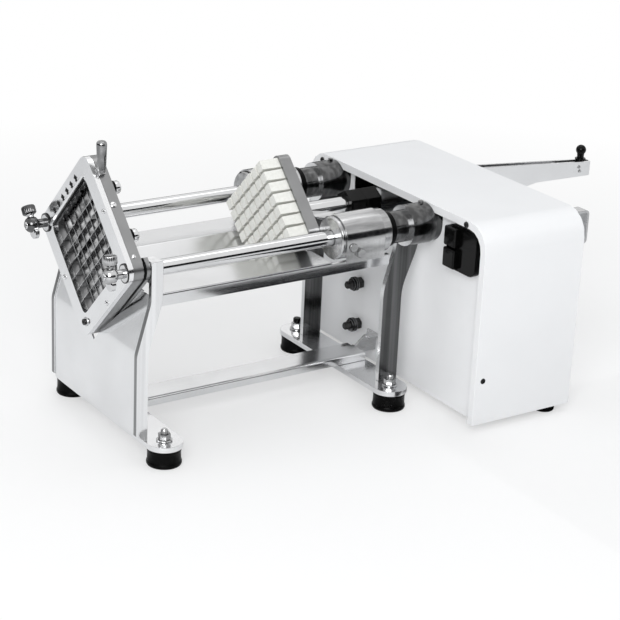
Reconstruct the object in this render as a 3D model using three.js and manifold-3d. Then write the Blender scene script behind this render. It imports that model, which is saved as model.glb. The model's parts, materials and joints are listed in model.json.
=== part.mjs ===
// Electric french fry cutter on a stainless stand, in millimetres with +Z up.
// +X runs from the blades to the motor housing, and the near side is -Y.
// Sizes are measured from the front feet's centre line, the centre plane and the floor.
// The finished group then stands on the floor with the middle of its reach at the origin.
import * as THREE from 'three';
import { mergeVertices } from 'three/addons/utils/BufferGeometryUtils.js';
import Module from 'manifold-3d';

// Shared gaps
const clear = 0.3;
const overrun = 4;

// Height of the rods and of the blade square's centre
const axisZ = 214;

// Facet counts
const fineSides = 24;
const plainSides = 16;
const smallSides = 8;
const bendSteps = 4;

const foot = {
  frontOutset: 7,
  rearOutset: 15,
  height: 20,
  baseRadius: 19,
  topRadius: 17,
  lipHeight: 4,
  studRadius: 4,
  studPlay: 0.3,
  studEnd: 5,
  washerRadius: 7.5,
  washerHeight: 1.6,
  nutRadius: 7,
  nutHeight: 6.5,
};
const footPlate = { radius: 20, thickness: 6 };
const stretcher = { nearReach: 23, farReach: 15, height: 10, wall: 3, ledge: 12, ledgeDrop: 2, rearInset: 2 };
const bracket = { sheet: 3, height: 21.4, tabWidth: 14, lipWidth: 10, cornerDrop: 12, cornerRun: 14 };

const leg = { inset: 3, thickness: 6 };
const frontLeg = {
  frontX: -31,
  depth: 13.5,
  step: 16,
  bendLow: 124,
  bendHigh: 180,
  bendRadius: 26,
  top: 224,
  blockWidth: 18,
  blockHeight: 24,
  seatDepth: 3.6,
  toeRise: 7,
};
const rearLeg = {
  frontX: 291,
  width: 25,
  inboard: 14,
  rise: 14,
  topWidth: 30.6,
  bendLow: 136,
  bendHigh: 186,
  bendRadius: 60,
  eyeRadius: 23,
  bossRadius: 18,
  bossDepth: 20.7,
  screwRadius: 3,
  screwHeight: 2.5,
  screwInset: 7,
};
const frontPanel = { thickness: 2, setback: 1.2, bottom: 33, top: 187, notchGap: 1.5 };

const rod = {
  radius: 8.5,
  tail: 6,
  studRadius: 4,
  studPlay: 0.5,
  studTail: 2,
  play: 0.3,
  chamfer: 1.1,
};
const buffer = { radius: 20, length: 7.5 };
const coverTube = { radius: 21.5, bore: 18.5, length: 49, frontWall: 4 };

// The blade square stands on its corner, so its sides are measured along the turned edges
const blades = { count: 6, pitch: 14, thickness: 0.9, depth: 9 };
const square = { openingMargin: 5, openingRadius: 7, railWidth: 19.5, cornerRadius: 14, studInset: 9.86 };
const mountFrame = { thickness: 5 };
const seal = { thickness: 2 };
const cassette = { thickness: 11.7, ledge: 2.5, rebateDepth: 9.6 };
const clampFrame = { thickness: 6, slitWidth: 1.8, slitLength: 9, rimRadius: 2.4 };
const frameHandle = {
  along: 48,
  setback: 2.6,
  blockLength: 10,
  blockWidth: 7,
  blockHeight: 4,
  footRadius: 3,
  topRadius: 5.4,
  height: 31,
  crown: 3,
};
const frameBolt = {
  edgeInset: 7.7,
  upperAlong: 31.8,
  lowerAlong: -24.7,
  shankRadius: 3,
  washerRadius: 7.6,
  washerLength: 2.4,
  headRadius: 7,
  headLength: 6.7,
  bite: 8,
};
const wingNut = {
  collarRadius: 5.5,
  collarLength: 9,
  hubRadius: 8,
  hubLength: 14,
  neckRadius: 4.5,
  neckReach: 8,
  knobRadius: 7.4,
  knobHeight: 12,
  lobeRadius: 7,
  lobeReach: 9,
  lobeThickness: 6,
  lean: Math.PI / 10,
};

const trough = { sheet: 1.5, gap: 1.18, frontGap: 0.9, overlap: 3, top: 186, edgeGap: 1.1, bottomRadius: 5 };
const rail = { width: 6, height: 12.2, endGap: 3 };

const pusher = { cornerRadius: 8, pocketRadius: 1.5, plate: 4, rim: 3, rimHeight: 10 };
const block = { margin: 0.3, thickness: 7.7, pegs: 7, pegSide: 11.8, pegTaper: 1.1, pegLength: 25 };
const sleeve = { radius: 24, play: 0.5, length: 66.9, chamfer: 1.5 };
const wing = { rise: 12, sheet: 3, outer: 19, corner: 32, inner: 56, cornerReach: 12.7, rearReach: 56.7 };
const saddle = {
  setback: 4.7,
  length: 50,
  sheet: 1.7,
  skirtDrop: 22,
  screwRadius: 5,
  screwHeight: 2.4,
  screwInset: 8,
  screwRise: 5,
  boltRadius: 5.5,
  boltHeight: 4,
  boltInset: 17,
  boltDrop: 12,
};
const saddleWrapShare = 1.13;
const pushRod = { radius: 10, length: 78.7, threadRadius: 8, threadPlay: 0.3 };
const lockNut = { radius: 17, length: 20.7 };
const ram = { radius: 14, length: 74.7, grip: 15, lugLength: 20, lugDrop: 9, lugRise: 11 };
const arm = {
  innerY: 33,
  lap: 10,
  width: 14,
  sheet: 2.5,
  reach: 216,
  top: 223,
  rearTop: 205.5,
  bottom: 185,
  bendReach: 103,
  riseReach: 126,
  riseZ: 189,
  rearBottom: 187.5,
  noseZ: 203,
  noseLength: 33,
};
const knob = {
  inset: 15,
  height: 19,
  ballRadius: 6.5,
  neckRadius: 4.2,
  collarRadius: 6.8,
  collarHeight: 2,
  stemRadius: 4,
};
const gear = {
  module: 2,
  teeth: 20,
  pressureAngle: Math.PI / 9,
  width: 7,
  shaftRadius: 5,
  shaftPlay: 0.3,
};
const rack = { pitchZ: 192, top: 205, teethAhead: 4, endGap: 24 };
const toothShare = 0.42;
const flankShares = [0, 0.35, 0.7, 1];
const rootShare = 1.25;

const housing = {
  eyeGap: 0.4,
  depth: 140,
  nearY: -200,
  farY: 142,
  bottom: 8,
  top: 238,
  cornerRadius: 30,
  sheet: 2,
  lip: 9,
  panelSetback: 8,
  webWidth: 6.5,
  cutDrop: 34,
  baseZ: 10,
};
const rearSlot = { sideGap: 3, lowGap: 5, highGap: 9 };
const motor = {
  radius: 43,
  z: 130,
  sideInset: 15,
  backGap: 0.7,
  capRadius: 34,
  capLength: 18,
  rimRadius: 46,
  rimLength: 8,
};
const gearbox = { halfLength: 40, width: 71, armGap: 2, top: 196, cornerRadius: 6, shaftDepth: 20 };
const switchBox = { depth: 8.2, sideInset: 16, width: 52, topInset: 11, height: 51, cornerRadius: 10 };
const button = { width: 20, height: 22, pitch: 24.4, reach: 6.5, depth: 3, travel: 3, edge: 2, inset: 2 };
const strap = { sideInset: 35, width: 16, reach: 36, topInset: 13, height: 40, sheet: 3, bendRadius: 5 };
const housingFoot = {
  rearInset: 24,
  inset: 15,
  radius: 12.5,
  studRadius: 3,
  nutRadius: 6,
  nutHeight: 4,
  studEnd: 3,
};
const panelBolt = {
  y: 35,
  upperZ: 99,
  lowerZ: 47,
  radius: 4,
  play: 0.3,
  reach: 22,
  washerRadius: 8.5,
  washerLength: 2,
  nutRadius: 8,
  nutLength: 6,
  tail: 3,
};
const gland = {
  sideInset: 50,
  rise: 30,
  threadRadius: 8,
  play: 0.3,
  bore: 3.5,
  nutRadius: 12,
  nutLength: 5,
  capRadius: 9,
  capLength: 9,
};

// Blade square: its opening follows the blades, and its corners carry the rods' studs
const squareOpening = (blades.count + 1) * blades.pitch + 2 * square.openingMargin;
const squareSide = squareOpening + 2 * square.railWidth;
const studTurned = squareSide / 2 - square.studInset;
const boltAcross = squareSide / 2 - frameBolt.edgeInset;
const rodOffset = studTurned * Math.SQRT2;

// Pusher: its block follows the pegs, and the trough follows its plate
const blockSide = (block.pegs - 1) * blades.pitch + block.pegSide + 2 * block.margin;
const pusherSide = blockSide + 2 * (clear + pusher.rim);
const troughBottom = axisZ - (pusherSide / 2 + trough.gap) * Math.SQRT2;

// Places along X at the front, from the legs towards the blades
const seatZ = foot.height + clear + footPlate.thickness + clear;
const topFrontX = frontLeg.frontX + frontLeg.step;
const rodFrontX = topFrontX + frontLeg.depth + clear;
const panelTopBackX = topFrontX + frontPanel.setback + frontPanel.thickness;
const mountBack = topFrontX - clear;
const sealBack = mountBack - mountFrame.thickness - clear;
const cassetteBack = sealBack - seal.thickness - clear;
const cassetteFront = cassetteBack - cassette.thickness;
const clampBack = cassetteFront - clear;
const clampFront = clampBack - clampFrame.thickness;
const bladeSide = squareOpening + 2 * (cassette.ledge - clear);
const bladeBack = cassetteFront + cassette.rebateDepth - clear;
const collarBack = clampFront - clear;
const hubBack = collarBack - wingNut.collarLength;
const hubFront = hubBack - wingNut.hubLength;

// Places along X at the rear legs, and from there forwards to the pusher
const eyeFrontX = rearLeg.frontX + rearLeg.rise;
const eyeRearX = eyeFrontX + rearLeg.topWidth;
const rodRearX = eyeRearX + rod.tail;
const rodBore = rod.radius + rod.play;
const bufferRearX = eyeFrontX - rearLeg.bossDepth - clear;
const sleeveRearX = bufferRearX - buffer.length - clear;
const sleeveFrontX = sleeveRearX - sleeve.length;
const pusherBackX = sleeveFrontX - clear;
const threadX = sleeveFrontX + pushRod.length;
const frontNutX = threadX + clear;
const rearNutX = frontNutX + lockNut.length + clear;
const ramFrontX = rearNutX + lockNut.length + clear;
const ramRearX = ramFrontX + ram.length;

// Housing and drive
const housingFrontX = eyeRearX + housing.eyeGap;
const housingRearX = housingFrontX + housing.depth;
const panelX = housingFrontX + housing.panelSetback;
const panelBackX = panelX + housing.sheet;
const backPanelX = housingRearX - housing.sheet;
const gearX = backPanelX - housing.sheet - clear - motor.backGap - motor.rimRadius;
const armFrontX = ramRearX - arm.lap;
const armRearX = housingRearX + arm.reach;
const knobX = armRearX - knob.inset;
const armOuterY = arm.innerY + arm.width;
const armMiddle = arm.innerY + arm.width / 2;
const gearboxFarY = arm.innerY - gearbox.armGap;
const gearboxNearY = gearboxFarY - gearbox.width;
const pitchRadius = gear.module * gear.teeth / 2;
const gearZ = rack.pitchZ - pitchRadius;
const toothPitch = Math.PI * gear.module;
const teethBehind = Math.floor((knobX - knob.stemRadius - rack.endGap - gearX) / toothPitch);
const switchFrontX = panelX - clear - switchBox.depth;
const glandY = housing.nearY + gland.sideInset;
const glandZ = housing.baseZ + gland.rise;

// Places across Y, and the feet under the legs
const legInner = rodOffset + leg.inset;
const legOuter = legInner + leg.thickness;
const rearLegInner = rodOffset - rearLeg.inboard;
const rearLegOuter = rearLegInner + leg.thickness;
const frontPlateX = frontLeg.frontX + frontLeg.depth - frontLeg.seatDepth + footPlate.radius;
const rearPlateX = rearLeg.frontX + rearLeg.width - footPlate.radius;
const frontSpread = legOuter + foot.frontOutset;
const rearSpread = rearLegOuter + foot.rearOutset;
const stretcherRearX = rearPlateX + footPlate.radius - stretcher.rearInset;

const wasm = await Module();
wasm.setup();

// Materials
const finish = (color, metalness, roughness) => (
  new THREE.MeshStandardMaterial({ color, metalness, roughness })
);
const polished = finish(0xc9ccd0, 1, 0.12);
const brushed = finish(0xb9bcc0, 1, 0.32);
const satin = finish(0xe9e9ea, 0.35, 0.4);
const rubber = finish(0x141414, 0, 0.75);
const moulded = finish(0x0f0f10, 0, 0.35);
const nylon = finish(0xe6e6e2, 0, 0.5);
const castGrey = finish(0x4c4f53, 0.6, 0.5);

// Solids from closed geometries, and back to geometries
function solidOf(geometry) {
  geometry.deleteAttribute('normal');
  geometry.deleteAttribute('uv');
  const merged = mergeVertices(geometry);
  const corners = merged.index.array;
  const kept = [];
  for (let i = 0; i < corners.length; i += 3) {
    const [a, b, c] = corners.slice(i, i + 3);
    if (a !== b && b !== c && c !== a) kept.push(a, b, c);
  }
  return new wasm.Manifold(new wasm.Mesh({
    numProp: 3,
    vertProperties: new Float32Array(merged.attributes.position.array),
    triVerts: new Uint32Array(kept),
  }));
}

function geometryOf(solid) {
  const mesh = solid.getMesh();
  const geometry = new THREE.BufferGeometry();
  geometry.setAttribute('position', new THREE.BufferAttribute(mesh.vertProperties, 3));
  geometry.setIndex(new THREE.BufferAttribute(mesh.triVerts, 1));
  const flat = geometry.toNonIndexed();
  flat.computeVertexNormals();
  return flat;
}

const join = (first, ...others) => others.reduce((sum, next) => sum.add(next), first);
const cut = (first, ...others) => others.reduce((rest, next) => rest.subtract(next), first);

function piece(name, solid, material) {
  const mesh = new THREE.Mesh(geometryOf(solid), material);
  mesh.name = name;
  return mesh;
}

// Outlines: corners are [across, up, radius], and a corner with no radius stays sharp
function outline(corners) {
  const points = [];
  corners.forEach(([across, up, radius = 0], i) => {
    const corner = new THREE.Vector2(across, up);
    if (radius === 0) {
      points.push(corner);
      return;
    }
    const [beforeX, beforeY] = corners.at(i - 1);
    const [afterX, afterY] = corners[(i + 1) % corners.length];
    const before = new THREE.Vector2(beforeX, beforeY).sub(corner).normalize();
    const after = new THREE.Vector2(afterX, afterY).sub(corner).normalize();
    const half = Math.acos(before.dot(after)) / 2;
    const middle = before.clone().add(after).normalize();
    const centre = corner.clone().addScaledVector(middle, radius / Math.sin(half));
    const start = corner.clone().addScaledVector(before, radius / Math.tan(half)).sub(centre);
    const end = corner.clone().addScaledVector(after, radius / Math.tan(half)).sub(centre);
    const turn = Math.atan2(start.cross(end), start.dot(end));
    for (let step = 0; step <= bendSteps; step++) {
      const swung = start.clone().rotateAround(new THREE.Vector2(), turn * step / bendSteps);
      points.push(swung.add(centre));
    }
  });
  return points;
}

function rectangle(left, right, low, high, radius = 0) {
  return outline([[left, low, radius], [right, low, radius], [right, high, radius], [left, high, radius]]);
}

const centredSquare = (side, radius) => rectangle(-side / 2, side / 2, -side / 2, side / 2, radius);

function arc(centreX, centreY, radius, from, to, steps) {
  return Array.from({ length: steps + 1 }, (_, i) => {
    const angle = from + (to - from) * i / steps;
    return new THREE.Vector2(centreX + radius * Math.cos(angle), centreY + radius * Math.sin(angle));
  });
}

// Extrusions along X of a (y, z) outline, along Y of an (x, z) outline and along Z of an (x, y) outline
const unitX = new THREE.Vector3(1, 0, 0);
const unitY = new THREE.Vector3(0, 1, 0);
const unitZ = new THREE.Vector3(0, 0, 1);
const facingX = new THREE.Matrix4().makeBasis(unitY, unitZ, unitX);
const facingY = new THREE.Matrix4().makeBasis(unitX, unitZ, unitY.clone().negate());

function extruded(points, depth, holes = []) {
  const shape = new THREE.Shape(points);
  holes.forEach((hole) => shape.holes.push(new THREE.Path(hole)));
  return new THREE.ExtrudeGeometry(shape, { depth, bevelEnabled: false });
}

function extrudeX(points, from, to, holes) {
  return solidOf(extruded(points, to - from, holes).applyMatrix4(facingX).translate(from, 0, 0));
}

function extrudeY(points, from, to, holes) {
  return solidOf(extruded(points, to - from, holes).applyMatrix4(facingY).translate(0, to, 0));
}

function extrudeZ(points, from, to, holes) {
  return solidOf(extruded(points, to - from, holes).translate(0, 0, from));
}

function box(fromX, toX, fromY, toY, fromZ, toZ) {
  return extrudeZ(rectangle(fromX, toX, fromY, toY), fromZ, toZ);
}

// Turned pieces: profile points are [radius, along the axis], outer side upwards
const turnedTo = {
  x: new THREE.Matrix4().makeBasis(unitY, unitX, unitZ.clone().negate()),
  y: new THREE.Matrix4(),
  z: new THREE.Matrix4().makeBasis(unitX, unitZ, unitY.clone().negate()),
};

function turned(axis, profile, sides, x = 0, y = 0, z = 0) {
  const points = profile.map(([radius, along]) => new THREE.Vector2(radius, along));
  return solidOf(new THREE.LatheGeometry(points, sides).applyMatrix4(turnedTo[axis]).translate(x, y, z));
}

function bar(axis, radius, from, to, sides, x = 0, y = 0, z = 0) {
  return turned(axis, [[0, from], [radius, from], [radius, to], [0, to]], sides, x, y, z);
}

function pipe(axis, outer, inner, from, to, sides, x = 0, y = 0, z = 0) {
  const profile = [[inner, from], [outer, from], [outer, to], [inner, to], [inner, from]];
  return turned(axis, profile, sides, x, y, z);
}

const hexagon = 6;
const sides = [['near', -1], ['far', 1]];
const spanY = (sign, inner, outer) => (sign > 0 ? [inner, outer] : [-outer, -inner]);

// Stand: rubber feet, foot plates, stretcher and the bracket that ties the housing to it
function rubberFoot(name, x, y) {
  const plateTop = seatZ - clear;
  const washerTop = plateTop + clear + foot.washerHeight;
  const nutTop = washerTop + foot.nutHeight;
  const pad = turned('z', [
    [0, 0],
    [foot.baseRadius, 0],
    [foot.baseRadius, foot.lipHeight],
    [foot.topRadius, foot.height],
    [foot.studRadius, foot.height],
    [foot.studRadius, seatZ],
    [foot.washerRadius, seatZ],
    [foot.washerRadius, washerTop],
    [foot.studRadius, washerTop],
    [foot.studRadius, nutTop + foot.studEnd],
    [0, nutTop + foot.studEnd],
  ], plainSides, x, y, 0);
  const nut = bar('z', foot.nutRadius, washerTop - foot.washerHeight / 2, nutTop, hexagon, x, y, 0);
  return piece(name, join(pad, nut), rubber);
}

function footPlatePiece(name, centreX, spread) {
  const far = arc(centreX, spread, footPlate.radius, 0, Math.PI, plainSides);
  const near = arc(centreX, -spread, footPlate.radius, Math.PI, 2 * Math.PI, plainSides);
  const low = foot.height + clear;
  const holeRadius = foot.studRadius + foot.studPlay;
  const holes = sides.map(([, sign]) => (
    bar('z', holeRadius, low - overrun, seatZ + overrun, plainSides, centreX, sign * spread, 0)
  ));
  return piece(name, cut(extrudeZ([...far, ...near], low, low + footPlate.thickness), ...holes), polished);
}

function stretcherBar() {
  const { nearReach, farReach, wall, ledge, ledgeDrop } = stretcher;
  const top = seatZ + stretcher.height;
  const under = top - ledgeDrop - wall;
  const channel = outline([
    [-nearReach, seatZ],
    [-nearReach, top, wall],
    [farReach - ledge, top],
    [farReach - ledge, top - ledgeDrop],
    [farReach, top - ledgeDrop],
    [farReach, seatZ],
    [farReach - wall, seatZ],
    [farReach - wall, under],
    [wall - nearReach, under],
    [wall - nearReach, seatZ],
  ]);
  return piece('stretcher_bar', extrudeX(channel, frontPlateX - footPlate.radius, stretcherRearX), brushed);
}

function standBracket() {
  const frontX = stretcherRearX + clear;
  const rearX = panelX - clear;
  const top = seatZ + bracket.height;
  const half = bracket.sheet / 2;
  const web = extrudeY(outline([
    [frontX, seatZ],
    [rearX, seatZ],
    [rearX, top],
    [frontX + bracket.cornerRun, top],
    [frontX, top - bracket.cornerDrop],
  ]), -half, half);
  const tab = box(rearX - bracket.sheet, rearX, -half, bracket.tabWidth, seatZ, top);
  const lip = box(frontX + bracket.cornerRun, rearX, -bracket.lipWidth, half, top - bracket.sheet, top);
  return piece('stand_bracket', join(web, tab, lip), brushed);
}

// Legs and front panel share one stepped line
function steppedLine(frontX, width, endZ, lowCorners) {
  const upperX = frontX + frontLeg.step;
  const radius = frontLeg.bendRadius;
  return outline([
    [frontX, frontLeg.bendLow, radius],
    [upperX, frontLeg.bendHigh, radius],
    [upperX, endZ],
    [upperX + width, endZ],
    [upperX + width, frontLeg.bendHigh, radius],
    [frontX + width, frontLeg.bendLow, radius],
    ...lowCorners,
  ]);
}

function frontLegPiece(side, sign) {
  const { frontX, depth, seatDepth, toeRise, top, blockWidth, blockHeight } = frontLeg;
  const bent = extrudeY(steppedLine(frontX, depth, top, [
    [frontX + depth, seatZ],
    [frontX + depth - seatDepth, seatZ],
    [frontX, seatZ + toeRise],
  ]), ...spanY(sign, legInner, legOuter));
  const [blockFrom, blockTo] = spanY(sign, legOuter - blockWidth, legOuter);
  const topBlock = box(topFrontX, topFrontX + depth, blockFrom, blockTo, top - blockHeight, top);
  const holeRadius = rod.studRadius + rod.studPlay;
  const studHole = bar('x', holeRadius, topFrontX - overrun, rodFrontX + overrun, smallSides,
    0, sign * rodOffset, axisZ);
  return piece(`front_leg_${side}`, cut(join(bent, topBlock), studHole), polished);
}

function frontPanelPiece() {
  const half = legInner - clear;
  const frontX = frontLeg.frontX + frontPanel.setback;
  const sheet = extrudeY(steppedLine(frontX, frontPanel.thickness, frontPanel.top, [
    [frontX + frontPanel.thickness, frontPanel.bottom],
    [frontX, frontPanel.bottom],
  ]), -half, half);
  const notchReach = (squareSide / 2 + frontPanel.notchGap) * Math.SQRT2;
  const notch = extrudeX([
    new THREE.Vector2(0, axisZ - notchReach),
    new THREE.Vector2(notchReach, axisZ),
    new THREE.Vector2(0, axisZ + notchReach),
    new THREE.Vector2(-notchReach, axisZ),
  ], frontX - overrun, topFrontX + frontLeg.depth);
  return piece('front_panel', cut(sheet, notch), polished);
}

function rearLegPiece(side, sign) {
  const { frontX, width, bendLow, bendHigh, bendRadius, eyeRadius } = rearLeg;
  const plate = extrudeY(outline([
    [frontX, seatZ],
    [frontX, bendLow, bendRadius],
    [eyeFrontX, bendHigh, bendRadius],
    [eyeFrontX, axisZ],
    [eyeRearX, axisZ],
    [eyeRearX, bendHigh, bendRadius],
    [frontX + width, bendLow, bendRadius],
    [frontX + width, seatZ],
  ]), ...spanY(sign, rearLegInner, rearLegOuter));
  const y = sign * rodOffset;
  const bossFrontX = eyeFrontX - rearLeg.bossDepth;
  const eye = bar('x', eyeRadius, eyeFrontX, eyeRearX, fineSides, 0, y, axisZ);
  const boss = bar('x', rearLeg.bossRadius, bossFrontX, eyeRearX, fineSides, 0, y, axisZ);
  const screw = bar('z', rearLeg.screwRadius, axisZ + (eyeRadius + rodBore) / 2,
    axisZ + eyeRadius + rearLeg.screwHeight, smallSides, eyeRearX - rearLeg.screwInset, y, 0);
  const bore = bar('x', rodBore, bossFrontX - overrun, rodRearX, fineSides, 0, y, axisZ);
  return piece(`rear_leg_${side}`, cut(join(plate, eye, boss, screw), bore), polished);
}

// Guide rods with threaded front ends, rubber buffers and the cover tubes behind the rear legs
function guideRod(side, sign) {
  const studFrontX = hubFront - rod.studTail;
  const profile = [
    [0, studFrontX],
    [rod.studRadius - rod.chamfer, studFrontX],
    [rod.studRadius, studFrontX + rod.chamfer],
    [rod.studRadius, rodFrontX],
    [rod.radius, rodFrontX],
    [rod.radius, rodRearX],
    [0, rodRearX],
  ];
  return piece(`guide_rod_${side}`, turned('x', profile, fineSides, 0, sign * rodOffset, axisZ), polished);
}

function rodBuffer(side, sign) {
  const ring = pipe('x', buffer.radius, rodBore, bufferRearX - buffer.length, bufferRearX, fineSides,
    0, sign * rodOffset, axisZ);
  return piece(`rod_buffer_${side}`, ring, rubber);
}

function coverTubePiece(side, sign) {
  const frontX = eyeRearX + clear;
  const rearX = frontX + coverTube.length;
  const wallX = frontX + coverTube.frontWall;
  const tube = turned('x', [
    [rodBore, frontX],
    [coverTube.radius, frontX],
    [coverTube.radius, rearX],
    [coverTube.bore, rearX],
    [coverTube.bore, wallX],
    [rodBore, wallX],
    [rodBore, frontX],
  ], fineSides, 0, sign * rodOffset, axisZ);
  return piece(`cover_tube_${side}`, tube, polished);
}

// Blade square: every piece here is drawn flat and turned onto its corner by its group
function turnedRing(back, thickness) {
  const hole = centredSquare(squareOpening, square.openingRadius);
  return extrudeX(centredSquare(squareSide, square.cornerRadius), back - thickness, back, [hole]);
}

// The mount frame and its seal run along the two lower sides only, up to the studs
function lowerSides(back, thickness) {
  const half = squareSide / 2;
  const inner = squareOpening / 2;
  return extrudeX(outline([
    [-half, -half, square.cornerRadius],
    [half, -half, square.cornerRadius],
    [half, -inner],
    [-inner, -inner, square.openingRadius],
    [-inner, half],
    [-half, half, square.cornerRadius],
  ]), back - thickness, back);
}

function studHoles(from, to) {
  return sides.map(([, sign]) => (
    bar('x', rod.studRadius + rod.studPlay, from - overrun, to + overrun, smallSides,
      0, sign * studTurned, -sign * studTurned)
  ));
}

function mountFramePiece() {
  const sheet = lowerSides(mountBack, mountFrame.thickness);
  return piece('mount_frame', cut(sheet, ...studHoles(mountBack - mountFrame.thickness, mountBack)), brushed);
}

function frameSealPiece() {
  const sheet = lowerSides(sealBack, seal.thickness);
  return piece('frame_seal', cut(sheet, ...studHoles(sealBack - seal.thickness, sealBack)), rubber);
}

function cassettePiece() {
  const rebateSide = squareOpening + 2 * cassette.ledge;
  const rebateEnd = cassetteFront + cassette.rebateDepth;
  const rebate = extrudeX(centredSquare(rebateSide), cassetteFront - overrun, rebateEnd);
  const boltEnd = cassetteBack - frameBolt.bite - clear;
  const boltHoles = [frameBolt.upperAlong, frameBolt.lowerAlong].map((along) => (
    bar('x', frameBolt.shankRadius + clear, boltEnd, cassetteBack + overrun, smallSides, 0, along, boltAcross)
  ));
  const holes = [...studHoles(cassetteFront, cassetteBack), ...boltHoles];
  const ring = turnedRing(cassetteBack, cassette.thickness);
  return piece('blade_cassette', cut(ring, rebate, ...holes), brushed);
}

// The clamp frame has a round rim along one side of its opening, with a slit beside it for each blade
function clampFramePiece() {
  const inner = squareOpening / 2;
  const rimMiddle = inner + clampFrame.rimRadius;
  const rimOuter = rimMiddle + clampFrame.rimRadius;
  const rim = bar('z', clampFrame.rimRadius, -inner, inner, smallSides, clampFront, rimMiddle, 0);
  const slits = Array.from({ length: blades.count }, (_, i) => {
    const across = (i - (blades.count - 1) / 2) * blades.pitch;
    const half = clampFrame.slitWidth / 2;
    return box(clampFront - overrun, clampBack + overrun, rimOuter, rimOuter + clampFrame.slitLength,
      across - half, across + half);
  });
  const plate = join(turnedRing(clampBack, clampFrame.thickness), rim);
  return piece('blade_clamp_frame', cut(plate, ...studHoles(clampFront, clampBack), ...slits), polished);
}

function bladeGridPiece() {
  const half = bladeSide / 2;
  const front = bladeBack - blades.depth;
  const strips = Array.from({ length: blades.count }, (_, i) => {
    const place = (i - (blades.count - 1) / 2) * blades.pitch;
    const low = place - blades.thickness / 2;
    const high = place + blades.thickness / 2;
    return [box(front, bladeBack, low, high, -half, half), box(front, bladeBack, -half, half, low, high)];
  });
  return piece('blade_grid', join(...strips.flat()), polished);
}

function frameHandlePiece() {
  const { along, blockLength, blockWidth, blockHeight, footRadius, topRadius, height, crown } = frameHandle;
  const middleX = cassetteFront + frameHandle.setback;
  const low = squareSide / 2 + clear;
  const clip = box(middleX - blockWidth / 2, middleX + blockWidth / 2,
    along - blockLength / 2, along + blockLength / 2, low, low + blockHeight);
  const pinGeometry = new THREE.LatheGeometry([
    new THREE.Vector2(0, -blockHeight / 2),
    new THREE.Vector2(footRadius, -blockHeight / 2),
    new THREE.Vector2(footRadius, 0),
    new THREE.Vector2(topRadius, height - crown),
    new THREE.Vector2(topRadius / 2, height),
    new THREE.Vector2(0, height),
  ], plainSides);
  pinGeometry.applyMatrix4(turnedTo.z).rotateX(-Math.PI / 4).translate(middleX, along, low + blockHeight);
  return piece('frame_handle', join(clip, solidOf(pinGeometry)), polished);
}

function frameBoltPiece(name, along) {
  const washerFrom = cassetteBack + clear;
  const headFrom = washerFrom + frameBolt.washerLength;
  const bolt = turned('x', [
    [0, cassetteBack - frameBolt.bite],
    [frameBolt.shankRadius, cassetteBack - frameBolt.bite],
    [frameBolt.shankRadius, washerFrom],
    [frameBolt.washerRadius, washerFrom],
    [frameBolt.washerRadius, headFrom],
    [frameBolt.headRadius, headFrom],
    [frameBolt.headRadius, headFrom + frameBolt.headLength],
    [0, headFrom + frameBolt.headLength],
  ], plainSides, 0, along, boltAcross);
  return piece(name, bolt, brushed);
}

function bladeSquare() {
  const group = new THREE.Group();
  group.add(
    mountFramePiece(),
    frameSealPiece(),
    cassettePiece(),
    clampFramePiece(),
    bladeGridPiece(),
    frameHandlePiece(),
    frameBoltPiece('frame_bolt_upper', frameBolt.upperAlong),
    frameBoltPiece('frame_bolt_lower', frameBolt.lowerAlong),
  );
  group.position.z = axisZ;
  group.rotation.x = Math.PI / 4;
  return group;
}

function wingNutPiece(side, sign) {
  const middleX = (hubBack + hubFront) / 2;
  const collar = bar('x', wingNut.collarRadius, hubBack, collarBack, plainSides);
  const hub = bar('x', wingNut.hubRadius, hubFront, hubBack, plainSides);
  const knobLow = wingNut.neckReach - wingNut.neckRadius / 2;
  const neck = bar('z', wingNut.neckRadius, 0, wingNut.neckReach, smallSides, middleX, 0, 0);
  const grip = bar('z', wingNut.knobRadius, knobLow, knobLow + wingNut.knobHeight, plainSides, middleX, 0, 0);
  const lobeFrom = middleX - wingNut.lobeThickness / 2;
  const lobeTo = middleX + wingNut.lobeThickness / 2;
  const lobe = bar('x', wingNut.lobeRadius, lobeFrom, lobeTo, plainSides, 0, 0, -wingNut.lobeReach);
  const bore = bar('x', rod.studRadius + clear, hubFront - overrun, collarBack + overrun, plainSides);
  const mesh = piece(`wing_nut_${side}`, cut(join(collar, hub, neck, grip, lobe), bore), brushed);
  mesh.rotation.x = -wingNut.lean;
  mesh.position.set(0, sign * rodOffset, axisZ);
  return mesh;
}

// V trough that feeds the blades, and the flat rails that carry its flanges
function feedTrough() {
  const slant = trough.sheet * Math.SQRT2;
  const under = trough.top - trough.sheet;
  const inner = under - (troughBottom - slant);
  const upper = trough.top - troughBottom;
  const edge = legInner - trough.edgeGap;
  const section = outline([
    [0, troughBottom - slant, trough.bottomRadius],
    [inner, under],
    [edge, under],
    [edge, trough.top],
    [upper, trough.top],
    [0, troughBottom, trough.bottomRadius],
    [-upper, trough.top],
    [-edge, trough.top],
    [-edge, under],
    [-inner, under],
  ]);
  const sheet = extrudeX(section, panelTopBackX + trough.frontGap, pusherBackX + trough.overlap);
  return piece('feed_trough', sheet, brushed);
}

function troughRail(side, sign) {
  const outer = legInner - clear;
  const top = trough.top - trough.sheet - clear;
  const [from, to] = spanY(sign, outer - rail.width, outer);
  const strip = box(panelTopBackX + clear, rearLeg.frontX - rail.endGap, from, to, top - rail.height, top);
  return piece(`trough_rail_${side}`, strip, polished);
}

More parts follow.
